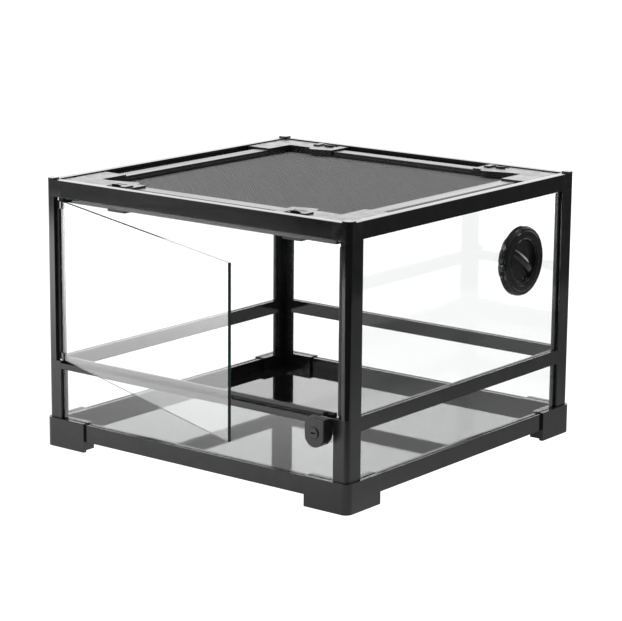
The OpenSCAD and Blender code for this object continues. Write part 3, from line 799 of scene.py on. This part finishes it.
# ---- The tank ----
@dataclass
class Frame:
    """Shoes, posts, rails, rim and caps, which keep their construction shapes, and the trims on them."""

    finishes: Finishes
    edge: float = 0.6 * MM
    back_bead_w: float = 14.5 * MM
    side_bead_w: float = 5.0 * MM
    bead_d: float = 3.0 * MM
    bead_r: float = 1.2 * MM
    gasket_w: float = 4.9 * MM
    gasket_out: float = 1.6 * MM
    gasket_d: float = 4.0 * MM
    gasket_proud: float = 0.5 * MM
    gasket_r: tuple[float, ...] = (0.8 * MM, 0.3 * MM, 0.0, 0.3 * MM)

    def build(self) -> None:
        """Dresses every piece of the black frame, and adds the glazing beads and the door's gasket."""
        drawn, moulded = self.finishes.drawn, self.finishes.moulded
        for corner in CORNERS:
            carry_over(f"foot_{corner}", moulded, self.edge)
            carry_over(f"rim_cap_{corner}", moulded, self.edge)
            lower = self.finishes.post_satin if "front" in corner else drawn[Run.ALONG_Z]
            carry_over(f"lower_post_{corner}", lower, self.edge)
            carry_over(f"upper_post_{corner}", drawn[Run.ALONG_Z], self.edge)
        for side in Side:
            for node in (f"base_rail_{side.word}", side.middle_rail, f"rim_{side.word}"):
                carry_over(node, drawn[side.run], self.edge)
        for side in (Side.RIGHT, Side.BACK, Side.LEFT):
            for level in ("lower", "upper"):
                self._beads(side, level)
        self._gasket()

    def _beads(self, side: Side, level: str) -> None:
        """Rounded bars that hold a pane from inside, one beside each back post that the pane runs into.

        Args:
            side: the pane's side.
            level: lower or upper.
        """
        inner = (np.stack(node_box(f"{level}_glass_{side.word}")) @ side.turn)[:, 1].max()
        low, high = self._clear_height(side, level)
        wide = self.back_bead_w if side is Side.BACK else self.side_bead_w
        for corner in CORNERS[2:]:
            post = np.stack(node_box(f"{level}_post_{corner}")) @ side.turn
            if not post[:, 1].min() < inner < post[:, 1].max():
                continue
            hand = np.sign(post[:, 0].mean())
            edge = np.abs(post[:, 0]).min()
            first, last = sorted((hand * (edge - wide), hand * (edge + SUNK)))
            section = rounded_rectangle((first, inner), (last, inner + self.bead_d),
                                        (SUNK, SUNK, self.bead_r, self.bead_r))
            shape = loft(section, [(0, low), (0, high)]).moved(side.turn)
            # The beads are real parts; their lighter finish is partly painted light.
            make_piece(f"{level}_bead_{side.word}_{corner}", shape, (self.finishes.bead,))

    @staticmethod
    def _clear_height(side: Side, level: str) -> tuple[float, float]:
        """Heights between which a bead or a gasket runs.

        Args:
            side: the side that it is on.
            level: lower or upper.

        Returns:
            Top of the rail below it and underside of the rail above it.
        """
        middle = node_box(side.middle_rail)
        if level == "lower":
            return node_box(f"base_rail_{side.word}")[1][2], middle[0][2]
        return middle[1][2], node_box(f"rim_{side.word}")[0][2]

    def _gasket(self) -> None:
        """Soft gasket on the right post's edge, which the shut door closes beside."""
        post = node_box("upper_post_front_right")[0]
        left, front = post[0] - self.gasket_out, post[1] - self.gasket_proud
        right, behind = left + self.gasket_w, front + self.gasket_d
        section = rounded_rectangle((left, front), (right, behind), self.gasket_r)
        shape = loft(section, [(0, height) for height in self._clear_height(Side.FRONT, "upper")])
        make_piece("door_gasket", shape, (self.finishes.gasket,))


@dataclass
class Glazing:
    """Fixed panes with ground edges, and the glossy floor panel."""

    finishes: Finishes
    arris: float = 0.5 * MM
    hole_clearance: float = 1.0 * MM
    hole_steps: int = 96

    def build(self) -> None:
        """Builds the seven fixed panes and the floor panel."""
        for level in ("lower", "upper"):
            for side in Side:
                node = f"{level}_glass_{side.word}"
                if node in frame["nodes"]:
                    shape = self._holed(node) if node == "upper_glass_right" else self._plain(node, side)
                    self.add_pane(f"{node}_pane", shape, "tank", node)
        low, high = node_box("floor_panel")
        panel = loft(rectangle(low, high), round_ends(low[2], high[2], self.arris))
        make_piece("floor_panel_polished", panel, (self.finishes.floor,), "tank",
                   ("floor_panel",))

    def add_pane(self, name: str, shape: Shape, body: str, node: str) -> None:
        """Makes a piece of glass that replaces a construction node."""
        make_piece(name, shape, self.finishes.pane, body, (node,), sharp=20)

    def ground(self, thick: float) -> list[tuple[float, float]]:
        """Profile of a ground edge: inset and height from one face to the other."""
        return [(self.arris, 0), (0, self.arris), (0, thick - self.arris), (self.arris, thick)]

    def plate(self, outline: np.ndarray, near: float, far: float) -> Shape:
        """Upright plate with ground edges: faces marked 0, edges and arrises marked 1.

        Args:
            outline: the plate's outline in x and z.
            near: y of its near face.
            far: y of its far face.

        Returns:
            The plate.
        """
        shape = loft(outline, self.ground(far - near))
        shape.marks = [1] * (len(shape.faces) - 2) + [0, 0]
        return shape.moved(STAND, (0, near, 0))

    def _plain(self, node: str, side: Side) -> Shape:
        """Rectangular pane that stands on a side of the tank."""
        low, high = extent(np.stack(node_box(node)) @ side.turn)
        return self.plate(rectangle(low[[0, 2]], high[[0, 2]]), low[1], high[1]).moved(side.turn)

    def _holed(self, node: str) -> Shape:
        """Pane with a round hole: rings between the hole's circle and the rectangle along each direction.

        P(a) on the rectangle is the centre plus the direction a times the shortest way to one of its sides.

        Args:
            node: the pane's construction node.

        Returns:
            The pane.
        """
        low, high = node_box(node)
        centre = np.array(joint("vent_turn")["pos_m"])[1:]
        flange = node_points("vent_flange")
        sleeve = flange[flange[:, 0] < low[0]][:, 1:]
        radius = np.linalg.norm(sleeve - centre, axis=1).max() + self.hole_clearance
        corners = rectangle(low[1:], high[1:]) - centre
        way = rays(circle_with(self.hole_steps, np.arctan2(corners[:, 1], corners[:, 0]) % (2 * math.pi)))
        to_side = np.where(way > 0, high[1:] - centre, low[1:] - centre)
        reach = to_side / np.where(np.abs(way) < TINY, TINY, way)
        outer = centre + way * np.min(np.abs(reach), axis=1)[:, None]
        hole = centre + way * radius
        profile = self.ground(high[0] - low[0])
        rings = [(hole + way * drop, level) for drop, level in profile]
        drops, levels = zip(*profile[::-1])
        rings += zip(inset(outer, np.array(drops)), levels)
        shape = stack(rings)
        shape.marks = np.repeat([1, 1, 1, 0, 1, 1, 1, 0], len(way)).tolist()
        return shape.moved(Z_TO_X, (low[0], 0, 0))


@dataclass
class Door:
    """Door glass, its hinge strip and clips, the pivot pins and the plugs in the spare holes."""

    finishes: Finishes
    glazing: Glazing
    strip_edge: float = 1.2 * MM
    strip_wall: float = 1.2 * MM
    lip: float = 0.8 * MM
    end_edge: float = 0.3 * MM
    clip_edge: float = 0.5 * MM

    def build(self) -> None:
        """Builds the door's pieces about its hinge axis."""
        hinge = joint("door_hinge")
        self.axis = np.array(hinge["pos_m"])
        self.turn = turned(math.radians(hinge["range_deg"][0]))
        self._glass()
        self._strip()
        carry_over("hinge_clips", self.finishes.moulded, self.clip_edge)
        for node in ("pivot_pins", "pivot_plugs"):
            carry_over(node, self.finishes.steel, self.end_edge)

    def _local(self, node: str) -> np.ndarray:
        """Points of a node with the door shut and the hinge axis at the origin."""
        return (node_points(node) - self.axis) @ self.turn

    def _glass(self) -> None:
        """Door glass: an outline with two notches for the clips, and ground edges."""
        points = self._local("door_glass")
        low, high = extent(points)
        at_edge = points[:, 0] < low[0] + self.glazing.arris
        notch_x = points[~at_edge][:, 0].min()
        foot, head = points[at_edge][:, 2].min(), points[at_edge][:, 2].max()
        outline = np.array([[notch_x, low[2]], [high[0], low[2]], [high[0], high[2]], [notch_x, high[2]],
                            [notch_x, head], [low[0], head], [low[0], foot], [notch_x, foot]])
        shape = self.glazing.plate(outline, low[1], high[1])
        self.glazing.add_pane("door_pane", shape.moved(self.turn, self.axis), "door", "door_glass")

    def _strip(self) -> None:
        """Hinge strip: a channel section with rounded outer corners, carried up the glass's edge."""
        points, glass = self._local("hinge_strip"), self._local("door_glass")
        low, high = extent(points)
        slot_low, slot_high = glass[:, 1].min(), glass[:, 1].max()
        edge, wall = self.strip_edge, low[0] + self.strip_wall
        section = rounded([
            (low[0], low[1], edge), (high[0], low[1], self.lip), (high[0], slot_low, 0),
            (wall, slot_low, 0), (wall, slot_high, 0), (high[0], slot_high, 0),
            (high[0], high[1], self.lip), (low[0], high[1], edge)])
        shape = loft(section, round_ends(low[2], high[2], self.end_edge))
        make_piece("hinge_strip_drawn", shape.moved(self.turn, self.axis), (self.finishes.strip,), "door",
                   ("hinge_strip",))


# ---- The lid ----
@dataclass
class Lid:
    """Stepped lid rails, corners with a ridge round each latch's thumb hollow and a stop beside it."""

    finishes: Finishes
    corner_edge: float = 0.9 * MM
    latch_edge: float = 0.5 * MM
    rail_edge: float = 1.0 * MM
    rail_end: float = 0.3 * MM
    slot_top: float = 3.0 * MM
    ledge: float = 0.9 * MM
    ledge_drop: float = 4.5 * MM
    thumb_r: float = 10.0 * MM
    thumb_chord: float = 5.0 * MM
    ridge_w: float = 2.4 * MM
    ridge_h: float = 2.9 * MM
    ridge_r: tuple[float, ...] = (0.0, 0.0, 0.5 * MM, 0.3 * MM)
    ridge_angle: float = 54.0
    ridge_steps: int = 30
    stop: tuple[float, float, float] = (11.0 * MM, 20.0 * MM, 2.1 * MM)
    stop_ahead: float = 6.0 * MM
    stop_beside: float = 0.8 * MM
    stop_r: float = 0.5 * MM
    stop_bevel: float = 0.3 * MM

    def build(self) -> None:
        """Builds the lid."""
        for side in Side:
            self._rail(side)
        for corner in CORNERS:
            carry_over(f"lid_corner_{corner}", self.finishes.lid_moulded, self.corner_edge)
            carry_over(f"lid_latch_{corner}", self.finishes.latch, self.latch_edge)
            self._thumb_ridge(corner)
            self._latch_stop(corner)

    def _rail(self, side: Side) -> None:
        """One rail: low flange, sloping shoulder, raised part and screen slot, carried along the side.

        Args:
            side: the rail's side.
        """
        node = f"lid_rail_{side.word}"
        points = node_points(node) @ side.turn
        low, high = extent(points)
        flange = near_plane(points, 1, low[1])[:, 2].max()
        step = near_plane(points, 2, flange)[:, 1].max()
        rise = near_plane(points, 1, step)[:, 2].max()
        raised = near_plane(points, 2, high[2])
        shoulder = raised[:, 1].min()
        slot = points[(points[:, 2] > low[2] + NEAR) & (points[:, 2] < low[2] + self.slot_top)]
        slot_low, slot_high, slot_in = slot[:, 2].min(), slot[:, 2].max(), slot[:, 1].min()
        edge, ledge, ledge_top = self.rail_edge, high[1] - self.ledge, high[2] - self.ledge_drop
        section = rounded([
            (low[1], low[2], self.rail_end), (high[1], low[2], 0), (high[1], slot_low, 0),
            (slot_in, slot_low, 0), (slot_in, slot_high, 0), (high[1], slot_high, 0),
            (high[1], ledge_top, SUNK), (ledge, ledge_top, SUNK), (ledge, high[2], edge),
            (shoulder, high[2], 2 * edge), (step, rise, edge), (step, flange, edge), (low[1], flange, edge)])
        half = raised[:, 0].max()
        shape = loft(section, round_ends(-half, half, self.rail_end)).moved(Z_TO_X)
        make_piece(f"{node}_drawn", shape.moved(side.turn), (self.finishes.lid_drawn[side.run],), "lid",
                   (node,))

    @staticmethod
    def _plate(corner: str) -> tuple[np.ndarray, float]:
        """Top points of a latch's plate, and the sign of y from the plate towards the lid's middle."""
        points = node_points(f"lid_latch_{corner}")
        plate = near_plane(points, 2, points[:, 2].max())
        return plate, 1.0 if plate[:, 1].mean() < 0 else -1.0

    def _thumb_ridge(self, corner: str) -> None:
        """Raised ridge round a latch's thumb hollow: a wall that follows an arc, with a rounded top.

        P(a, t) = (r(t) sin a, r(t) cos a, h(t)), for radii r(t) and heights h(t) round the section.

        Args:
            corner: name of the latch's corner.
        """
        plate, hand = self._plate(corner)
        top = plate[:, 2].max()
        middle = (plate[:, 0].min() + plate[:, 0].max()) / 2
        front = (hand * plate[:, 1]).min() - self.thumb_chord
        outer = self.thumb_r + self.ridge_w
        section = rounded_rectangle((self.thumb_r, top - SUNK), (outer, top + self.ridge_h), self.ridge_r)
        half = math.radians(self.ridge_angle)
        angle = np.linspace(-half, half, self.ridge_steps + 1)[:, None]
        radius, height = section[None, :, 0], section[None, :, 1]
        wall = np.stack(np.broadcast_arrays(middle + radius * np.sin(angle),
                                            hand * (front + radius * np.cos(angle)), height), axis=-1)
        shape = Shape(wall.reshape(-1, 3), capped_faces(*wall.shape[:2]))
        make_piece(f"latch_ridge_{corner}", shape, (self.finishes.moulded,), f"lid_latch_{corner}")

    def _latch_stop(self, corner: str) -> None:
        """Low block with a bevelled top on the lid's corner, beside a latch's plate.

        Args:
            corner: name of the latch's corner.
        """
        plate, hand = self._plate(corner)
        near = (hand * plate[:, 0]).max() + self.stop_beside
        front = (hand * plate[:, 1]).min() - self.stop_ahead
        long, deep, tall = self.stop
        outline = rounded_rectangle((near, front), (near + long, front + deep), [self.stop_r] * 4)
        base = node_box(f"lid_corner_{corner}")[1][2]
        shape = loft(outline * hand, [(0, base - SUNK), (0, base + tall - self.stop_bevel),
                                      (self.stop_bevel, base + tall)])
        make_piece(f"latch_stop_{corner}", shape, (self.finishes.lid_moulded,), "lid")


@dataclass
class Screen:
    """Woven wire screen: crimped wires that pass over and under each other."""

    finishes: Finishes
    pitch: float = 3.2 * MM
    wire_w: float = 0.80 * MM
    wire_h: float = 0.62 * MM
    around: int = 4

    def build(self) -> None:
        """Builds the wires of both directions."""
        for name, swap, phase in (("screen_warp", False, 0.0), ("screen_weft", True, math.pi)):
            # The wires' grey is partly painted sheen over their black coating.
            make_piece(name, self._wires(swap, phase), (self.finishes.wire,), "lid",
                       ("screen",), sharp=180, even=False)

    def _wires(self, swap: bool, phase: float) -> Shape:
        """Wires along x, or along y when swapped.

        The centre line is z(i, j) = level + h / 2 * cos(pi (i + j) + phase) at crossing j of wire i, and each
        section is a diamond of the wire's width and height.

        Args:
            swap: whether the wires run along y.
            phase: pi for the wires that go under where the others go over.

        Returns:
            All the wires as one shape.
        """
        low, high = node_box("screen")
        span = high[0] - low[0]
        count, corners = int(span / self.pitch), self.around
        place = low[0] + (span - (count - 1) * self.pitch) / 2 + self.pitch * np.arange(count)
        wire, cross = np.meshgrid(np.arange(count), np.arange(count), indexing="ij")
        height = (low[2] + high[2]) / 2 + 0.5 * self.wire_h * np.cos(np.pi * (wire + cross) + phase)
        turn = np.arange(corners) * 2 * math.pi / corners
        along = place[None, :, None]
        across = place[:, None, None] + 0.5 * self.wire_w * np.cos(turn)
        up = height[..., None] + 0.5 * self.wire_h * np.sin(turn)
        order = (across, along, up) if swap else (along, across, up)
        points = np.stack(np.broadcast_arrays(*order), axis=-1).reshape(-1, 3)
        total = corners * count
        ends = np.stack([np.arange(corners), total - 1 - np.arange(corners)])
        one = np.concatenate([grid_faces(count, corners, wrap=True), ends])
        faces = one[None] + total * np.arange(count)[:, None, None]
        return Shape(points, faces.reshape(-1, corners).tolist())


# ---- Vent and lock ----
@dataclass
class Vent:
    """Shutter vent: ring flange with its trim, a turning knob with a grip bar, and a banded nut inside."""

    finishes: Finishes
    grip_w: float = 14.0 * MM
    grip_angle: float = -35.0
    dome: float = 6.0 * MM
    crown: float = 0.3 * MM
    camber: float = 2.4 * MM
    scoop_margin: float = 1.8 * MM
    scoop_depth: float = 8.0 * MM
    scoop_rise: float = 0.55
    bank: float = 0.9 * MM
    ridge: float = 0.35 * MM
    rows: int = 150
    side_h: float = 4.0 * MM
    bevel_w: float = 7.5 * MM
    bevel_drop: float = 3.6 * MM
    trim: float = 0.4 * MM
    trim_over: float = 0.3 * MM
    trim_foot: float = 1.0 * MM
    groove_d: float = 1.2 * MM
    knob_gap: float = 5.0 * MM
    band_over: float = 0.05 * MM
    band_d: float = 3.0 * MM
    band_edge: float = 1.5 * MM

    def build(self) -> None:
        """Builds the trim, the knob and the nut's band, and dresses the flange and the nut."""
        glass = node_box("upper_glass_right")[1][0]
        self.centre = np.array([glass, *joint("vent_turn")["pos_m"][1:]])
        carry_over("vent_flange", self.finishes.vent, 0.35 * MM)
        self._trim()
        self._knob()
        carry_over("vent_nut", self.finishes.vent, 0.8 * MM)
        self._nut_band()

    def _ring(self, name: str, section: np.ndarray, finish: bpy.types.Material, sharp: float) -> None:
        """Makes a ring round the vent's axis from a section of radius and distance out from the glass."""
        ring = revolve(section).moved(Z_TO_X, self.centre)
        make_piece(name, ring, (finish,), sharp=sharp)

    def _nut_band(self) -> None:
        """Smooth band round the nut inside the glass."""
        points = node_points("vent_nut") - self.centre
        outer = np.hypot(points[:, 1], points[:, 2]).max() + self.band_over
        section = rounded_rectangle((outer - self.band_d, points[:, 0].min()), (outer, points[:, 0].max()),
                                    (0.3 * MM, self.band_edge, SUNK, SUNK), steps=3)
        self._ring("vent_nut_band", section, self.finishes.nut, 40)

    def _trim(self) -> None:
        """Trim on the flange: a grooved wall, an outer bevel, a flat ring and a deep gap round the knob."""
        (_, _, low), (front, _, high) = node_box("vent_flange")
        (_, _, knob_low), (_, _, knob_high) = node_box("vent_knob")
        outer, top = (high - low) / 2, front - self.centre[0]
        crest, inner = outer - self.bevel_w, (knob_high - knob_low) / 2 + self.knob_gap
        wall, lip, foot = outer + self.trim_over, top - self.bevel_drop, self.trim_foot
        groove, rise = wall - self.groove_d, self.trim
        section = np.array([
            (wall, foot), (wall, lip - 1.5 * MM), (wall - 0.4 * MM, lip - 1.1 * MM),
            (groove, lip - 1.0 * MM), (groove, lip - 0.4 * MM), (wall - 0.5 * MM, lip),
            (crest + 0.6 * MM, top + rise), (crest, top + rise), (crest - 0.3 * MM, top - rise),
            (inner + 0.5 * MM, top - rise), (inner, top - 2 * rise), (inner, foot)])
        self._ring("vent_trim", section, self.finishes.vent, 18)

    def _knob(self) -> None:
        """Knob: a dome with two dished scoops, worked out over chords of its disc.

        A row lies at a fixed distance b across the grip bar and runs from edge to edge of the disc, so the
        bar's sides are straight rows. A skirt closes the surface below.
        """
        points = node_points("vent_knob")
        low, high = extent(points)
        radius, top = (high[2] - low[2]) / 2, high[0] - self.centre[0]
        spread = np.sin(np.linspace(-math.pi / 2, math.pi / 2, self.rows))
        across = radius * 0.9995 * spread[:, None]
        along = np.linspace(-1, 1, self.rows)[None] * np.sqrt(radius ** 2 - across ** 2)
        across = np.broadcast_to(across, along.shape)
        height = self._knob_height(along, across, radius, top)
        turn = math.radians(self.grip_angle)
        first = along * math.cos(turn) - across * math.sin(turn)
        second = along * math.sin(turn) + across * math.cos(turn)
        surface = np.stack([first, second, height], axis=-1).reshape(-1, 3)
        number = np.arange(len(surface)).reshape(self.rows, self.rows)
        border = np.concatenate([number[0, :-1], number[:-1, -1], number[-1, :0:-1], number[:0:-1, 0]])
        skirt = surface[border] * [1, 1, 0] + [0, 0, top - self.dome - self.side_h]
        ring = len(surface) + np.arange(len(border))
        sides = np.stack([border, ring, np.roll(ring, -1), np.roll(border, -1)], axis=1)
        faces = grid_faces(self.rows, self.rows).tolist() + sides.tolist() + [ring.tolist()]
        shape = Shape(np.concatenate([surface, skirt]), faces).moved(Z_TO_X, self.centre)
        make_piece("vent_knob_dished", shape, (self.finishes.vent,), "vent_knob",
                   ("vent_knob",), sharp=40)

    def _knob_height(self, along: np.ndarray, across: np.ndarray, radius: float, top: float) -> np.ndarray:
        """Height of the knob's face over its disc.

        It is the dome's sphere or a flat crown, whichever is lower, less the camber times (2b / w)^2 on a bar
        of width w, less the scoop, which opens past the bar's side and closes before the rim.

        Args:
            along: distances along the grip bar.
            across: distances across it.
            radius: the disc's radius.
            top: height of the dome's top.

        Returns:
            The heights.
        """
        reach = np.hypot(along, across)
        ball = (radius ** 2 + self.dome ** 2) / (2 * self.dome)
        dome = top - (ball - np.sqrt(ball ** 2 - reach ** 2))
        scoop_r = radius - self.scoop_margin
        beside = np.abs(across) - self.grip_w / 2
        open_side = smooth_step(beside / self.bank)
        open_rim = 1 - smooth_step((reach - scoop_r + self.bank) / self.bank)
        dish = 1 - self.scoop_rise * smooth_step(beside / (scoop_r - self.grip_w / 2))
        flat = np.minimum(dome, top - self.crown)
        bar = flat - self.camber * np.minimum(np.abs(2 * across / self.grip_w), 1) ** 2
        edge = np.exp(-(beside / (0.5 * self.bank)) ** 2) * (reach < scoop_r)
        return bar - self.scoop_depth * open_side * open_rim * dish + self.ridge * edge


@dataclass
class Lock:
    """Cam lock on the sill: body with a ring and a top pad, both matte painted shade, key cylinder with its
    raised face, and bolt.
    """

    finishes: Finishes
    edge: float = 1.0 * MM
    core_edge: float = 0.4 * MM
    face_gap: float = 0.05 * MM
    proud: float = 1.6 * MM
    rim: float = 0.3 * MM
    slot: tuple[float, float] = (4.3 * MM, 1.2 * MM)
    ring: tuple[float, float] = (8.0 * MM, 9.6 * MM)
    ring_gap: float = 0.1 * MM
    ring_sunk: float = 0.1 * MM
    ring_proud: float = 0.2 * MM
    pad_gap: float = 0.8 * MM
    pad_r: tuple[float, ...] = (1.0 * MM, 1.0 * MM, 0.5 * MM, 0.5 * MM)
    pad_rise: float = 0.35 * MM
    face_steps: int = 72
    ring_steps: int = 64

    def build(self) -> None:
        """Dresses the lock, and adds the cylinder's face, the ring round it and the top pad; ring and pad are
        painted shade.
        """
        carry_over("lock_body", self.finishes.lock_body, self.edge)
        carry_over("lock_cylinder", self.finishes.lock_core, self.core_edge)
        carry_over("lock_bolt", self.finishes.steel, self.core_edge)
        self.body_low, self.body_high = node_box("lock_body")
        self.middle_x, _, self.middle_z = joint("lock_turn")["pos_m"]
        self._face()
        self._ring()
        self._pad()

    def _pad(self) -> None:
        """Thin matte pad on the lock's top, in front of the bolt: painted shade that keeps the top dark under
        the sill.
        """
        low, high, margin = self.body_low, self.body_high, self.edge
        behind = node_box("lock_bolt")[0][1] - self.pad_gap
        outline = rounded_rectangle(low[:2] + margin, (high[0] - margin, behind), self.pad_r)
        base, top = high[2] - 0.1 * MM, high[2] + self.pad_rise
        shape = loft(outline, [(0, base), (0, high[2] + SUNK), (SUNK, top)])
        # Painted shade: a matte dark sheet over the lock's top.
        make_piece("lock_top_pad", shape, (self.finishes.gasket,))

    def _face(self) -> None:
        """Round face with the key slot: rings between the slot's outline and the circle along each direction.

        P(a) on the slot is the direction a times the shortest way to one of its sides.
        """
        centre = (self.middle_x, node_box("lock_cylinder")[0][1] - self.face_gap, self.middle_z)
        half = np.array(self.slot)
        corner, straight = math.atan2(half[1], half[0]), math.pi
        corners = (corner, straight - corner, straight + corner, 2 * straight - corner)
        way = rays(circle_with(self.face_steps, corners))
        hole = way * np.min(half / np.maximum(np.abs(way), TINY), axis=1)[:, None]
        tall, rim, radius = self.proud, self.rim, self.ring[0]
        shape = stack([(hole, 0), (hole, tall), (way * (radius - rim), tall), (way * radius, tall - rim),
                       (way * radius, 0)])
        make_piece("lock_cylinder_face", shape.moved(Z_TO_FRONT, centre), (self.finishes.lock_core,),
                   "lock_cylinder")

    def _ring(self) -> None:
        """Flat matte ring on the body round the cylinder's face, a little proud of it: painted shade, its
        matte black standing in for the shade round the cylinder.
        """
        band = rectangle((self.ring[0] + self.ring_gap, -self.ring_proud), (self.ring[1], self.ring_sunk))
        around = (self.middle_x, self.body_low[1], self.middle_z)
        ring = revolve(np.roll(band, -1, axis=0), self.ring_steps).moved(Z_TO_BACK, around)
        # Painted shade: a matte black ring that darkens the body round the cylinder.
        make_piece("lock_shade_ring", ring, (self.finishes.gasket,))


# ---- Studio ----
@dataclass
class Studio:
    """Pale floor, soft light and camera.

    The floor and the surroundings look white when seen straight or through glass. What the glossy pieces
    mirror is graded: bright to the left and behind, dim to the right, and dark past the floor's near edge.
    """

    azimuth: float = 37.93
    elevation: float = 12.64
    roll: float = 0.47
    place: tuple[float, float, float] = (2.331, -2.995, 1.067)
    focal_px: float = 2371.0
    image_w: int = 622
    sensor: float = 36.0
    floor_half: float = 6.0
    near_edge: float = 0.735
    near_edge_left: float = 0.90
    slant_from: float = -1.6
    slant: float = 0.47
    left_edge: float = 2.45
    side_edge: float = 1.535
    glow_left: float = 1.70
    glow_far_left: float = 3.7
    glow_right: float = 0.56
    glow_far_right: float = 0.34
    white: float = 1.25
    glint_way: tuple[float, float, float] = (0.70, 0.60, 0.385)
    glint: float = 8.0
    glint_rest: float = 0.04
    lamp_size: tuple[float, float] = (1.6, 1.0)
    lamp_power: float = 30.0
    lamp_way: tuple[float, float, float] = (-0.35, -0.55, 0.76)
    lamp_away: float = 3.2

    def build(self) -> None:
        """Builds the floor, the surroundings, a soft top light and the camera."""
        angle = math.radians(self.azimuth)
        self.towards = (math.sin(angle), -math.cos(angle), 0.0)
        self.lateral = (math.cos(angle), math.sin(angle), 0.0)
        self._floor()
        self._world()
        self._light()
        self._camera()
        view = bpy.context.scene.view_settings
        view.view_transform = "Standard"
        view.look = "None"

    def _strength(self, graph: Graph, mirrored: Socket) -> Socket:
        """White for a ray that no surface has mirrored or scattered yet, else the mirrored strength.

        Args:
            graph: where the nodes go.
            mirrored: strength that the glossy pieces mirror.

        Returns:
            The strength.
        """
        ray = graph.add("ShaderNodeLightPath").outputs
        straight = graph.math("LESS_THAN", graph.plus(ray["Glossy Depth"], ray["Diffuse Depth"]), 0.5)
        inputs = {0: straight, 2: mirrored, 3: self.white}
        return graph.add("ShaderNodeMix", inputs, data_type="FLOAT").outputs[0]

    def _floor(self) -> None:
        """Wide pale floor, whose glow is graded over its own coordinates."""
        half = self.floor_half
        mesh = bpy.data.meshes.new("studio_floor")
        mesh.from_pydata([(x, y, 0) for x, y in rectangle((-half, -half), (half, half))], [], [(0, 1, 2, 3)])
        add_object("studio_floor", mesh)
        graph = Paint("pale_floor")
        mesh.materials.append(graph.material)
        place = graph.place()
        across, near = graph.dot(place, self.lateral), graph.dot(place, self.towards)
        glow = graph.ramp(across, -0.9, 0.3, self.glow_left, self.glow_right)
        glow = graph.plus(glow, graph.ramp(across, 0.4, 1.0, 0.0, self.glow_far_right - self.glow_right))
        glow = graph.plus(glow, graph.ramp(across, -1.9, -0.7, self.glow_far_left - self.glow_left, 0.0))
        glow = graph.times(glow, graph.ramp(near, 0.0, 0.5, 0.85, 1.15))
        edge = graph.ramp(across, -0.7, -0.3, self.near_edge_left, self.near_edge)
        past = graph.math("MINIMUM", graph.math("SUBTRACT", across, self.slant_from), 0.0)
        edge = graph.plus(edge, graph.times(past, self.slant))
        inside = graph.math("LESS_THAN", near, edge)
        right = graph.math("LESS_THAN", across, self.side_edge)
        left = graph.math("GREATER_THAN", across, -self.left_edge)
        inside = graph.times(inside, graph.times(left, right))
        beyond = graph.ramp(across, -2.9, 0.6, 0.45, 0.08)
        dark = graph.times(beyond, graph.math("LESS_THAN", near, self.near_edge_left))
        mirrored = graph.plus(graph.times(glow, inside),
                              graph.times(dark, graph.math("SUBTRACT", 1.0, inside)))
        strength = self._strength(graph, mirrored)
        emission = graph.add("ShaderNodeEmission", {"Color": (1, 1, 1, 1), "Strength": strength})
        graph.fill(graph.output, {"Surface": emission.outputs[0]})
        graph.tree.nodes.remove(graph.shader)

    def _world(self) -> None:
        """Surroundings: a bright sheet behind, a bright left, a soft ceiling and one small bright patch."""
        world = bpy.data.worlds.new("studio")
        bpy.context.scene.world = world
        world.use_nodes = True
        graph = Graph(world.node_tree)
        way = graph.add("ShaderNodeTexCoord").outputs["Generated"]
        facing, left = (graph.dot(way, tuple(-c for c in axis)) for axis in (self.towards, self.lateral))
        up = graph.height(way)
        bright = graph.ramp(up, 0.15, 0.27, 2.0, 1.5)
        sheet = graph.times(graph.times(graph.ramp(facing, 0.2, 0.6), bright), graph.ramp(up, 0.9, 0.6))
        ceiling = graph.ramp(up, 0.5, 0.95, 0.0, 1.3)
        side = graph.times(graph.ramp(left, 0.3, 0.9, 0.0, 1.2), graph.ramp(up, 0.9, 0.4))
        glow = graph.plus(graph.math("MAXIMUM", sheet, side), ceiling)
        patch = graph.ramp(graph.dot(way, self.glint_way), 0.988, 0.994, self.glint_rest, self.glint)
        strength = self._strength(graph, graph.plus(glow, patch))
        graph.fill(graph.first("BACKGROUND"), {"Strength": strength, "Color": (1, 1, 1, 1)})

    def _light(self) -> None:
        """Soft box high on the left."""
        lamp = bpy.data.lights.new("soft_box", "AREA")
        lamp.shape = "RECTANGLE"
        lamp.size, lamp.size_y = self.lamp_size
        lamp.energy = self.lamp_power
        away = np.array(self.lamp_way)
        z = away / np.linalg.norm(away)
        x = unit(np.cross([0, 0, 1], z))
        add_object("soft_box", lamp).matrix_world = placed(x, np.cross(z, x), z, away * self.lamp_away)

    def _camera(self) -> None:
        """Camera at its place, turned to the azimuth, elevation and roll."""
        data = bpy.data.cameras.new("camera")
        camera = add_object("camera", data)
        data.sensor_width = self.sensor
        data.lens = self.focal_px / self.image_w * self.sensor
        data.clip_end = 50.0
        azimuth, elevation, roll = (math.radians(a) for a in (self.azimuth, self.elevation, self.roll))
        level = math.cos(elevation)
        back = np.array([math.sin(azimuth) * level, -math.cos(azimuth) * level, math.sin(elevation)])
        right = unit(np.cross([0, 0, 1], back))
        up = np.cross(back, right)
        cos, sin = math.cos(roll), math.sin(roll)
        camera.matrix_world = placed(cos * right + sin * up, cos * up - sin * right, back, self.place)
        bpy.context.scene.camera = camera


def main() -> None:
    """Builds the studio and every sub-assembly in order."""
    logging.basicConfig(level=logging.INFO, format="%(name)s: %(message)s")
    Studio().build()
    finishes = Finishes()
    glazing = Glazing(finishes)
    for part in (Frame(finishes), glazing, Door(finishes, glazing), Lid(finishes), Screen(finishes),
                 Vent(finishes), Lock(finishes)):
        LOG.info("building %s", type(part).__name__)
        part.build()


if __name__ == "__main__":
    main()
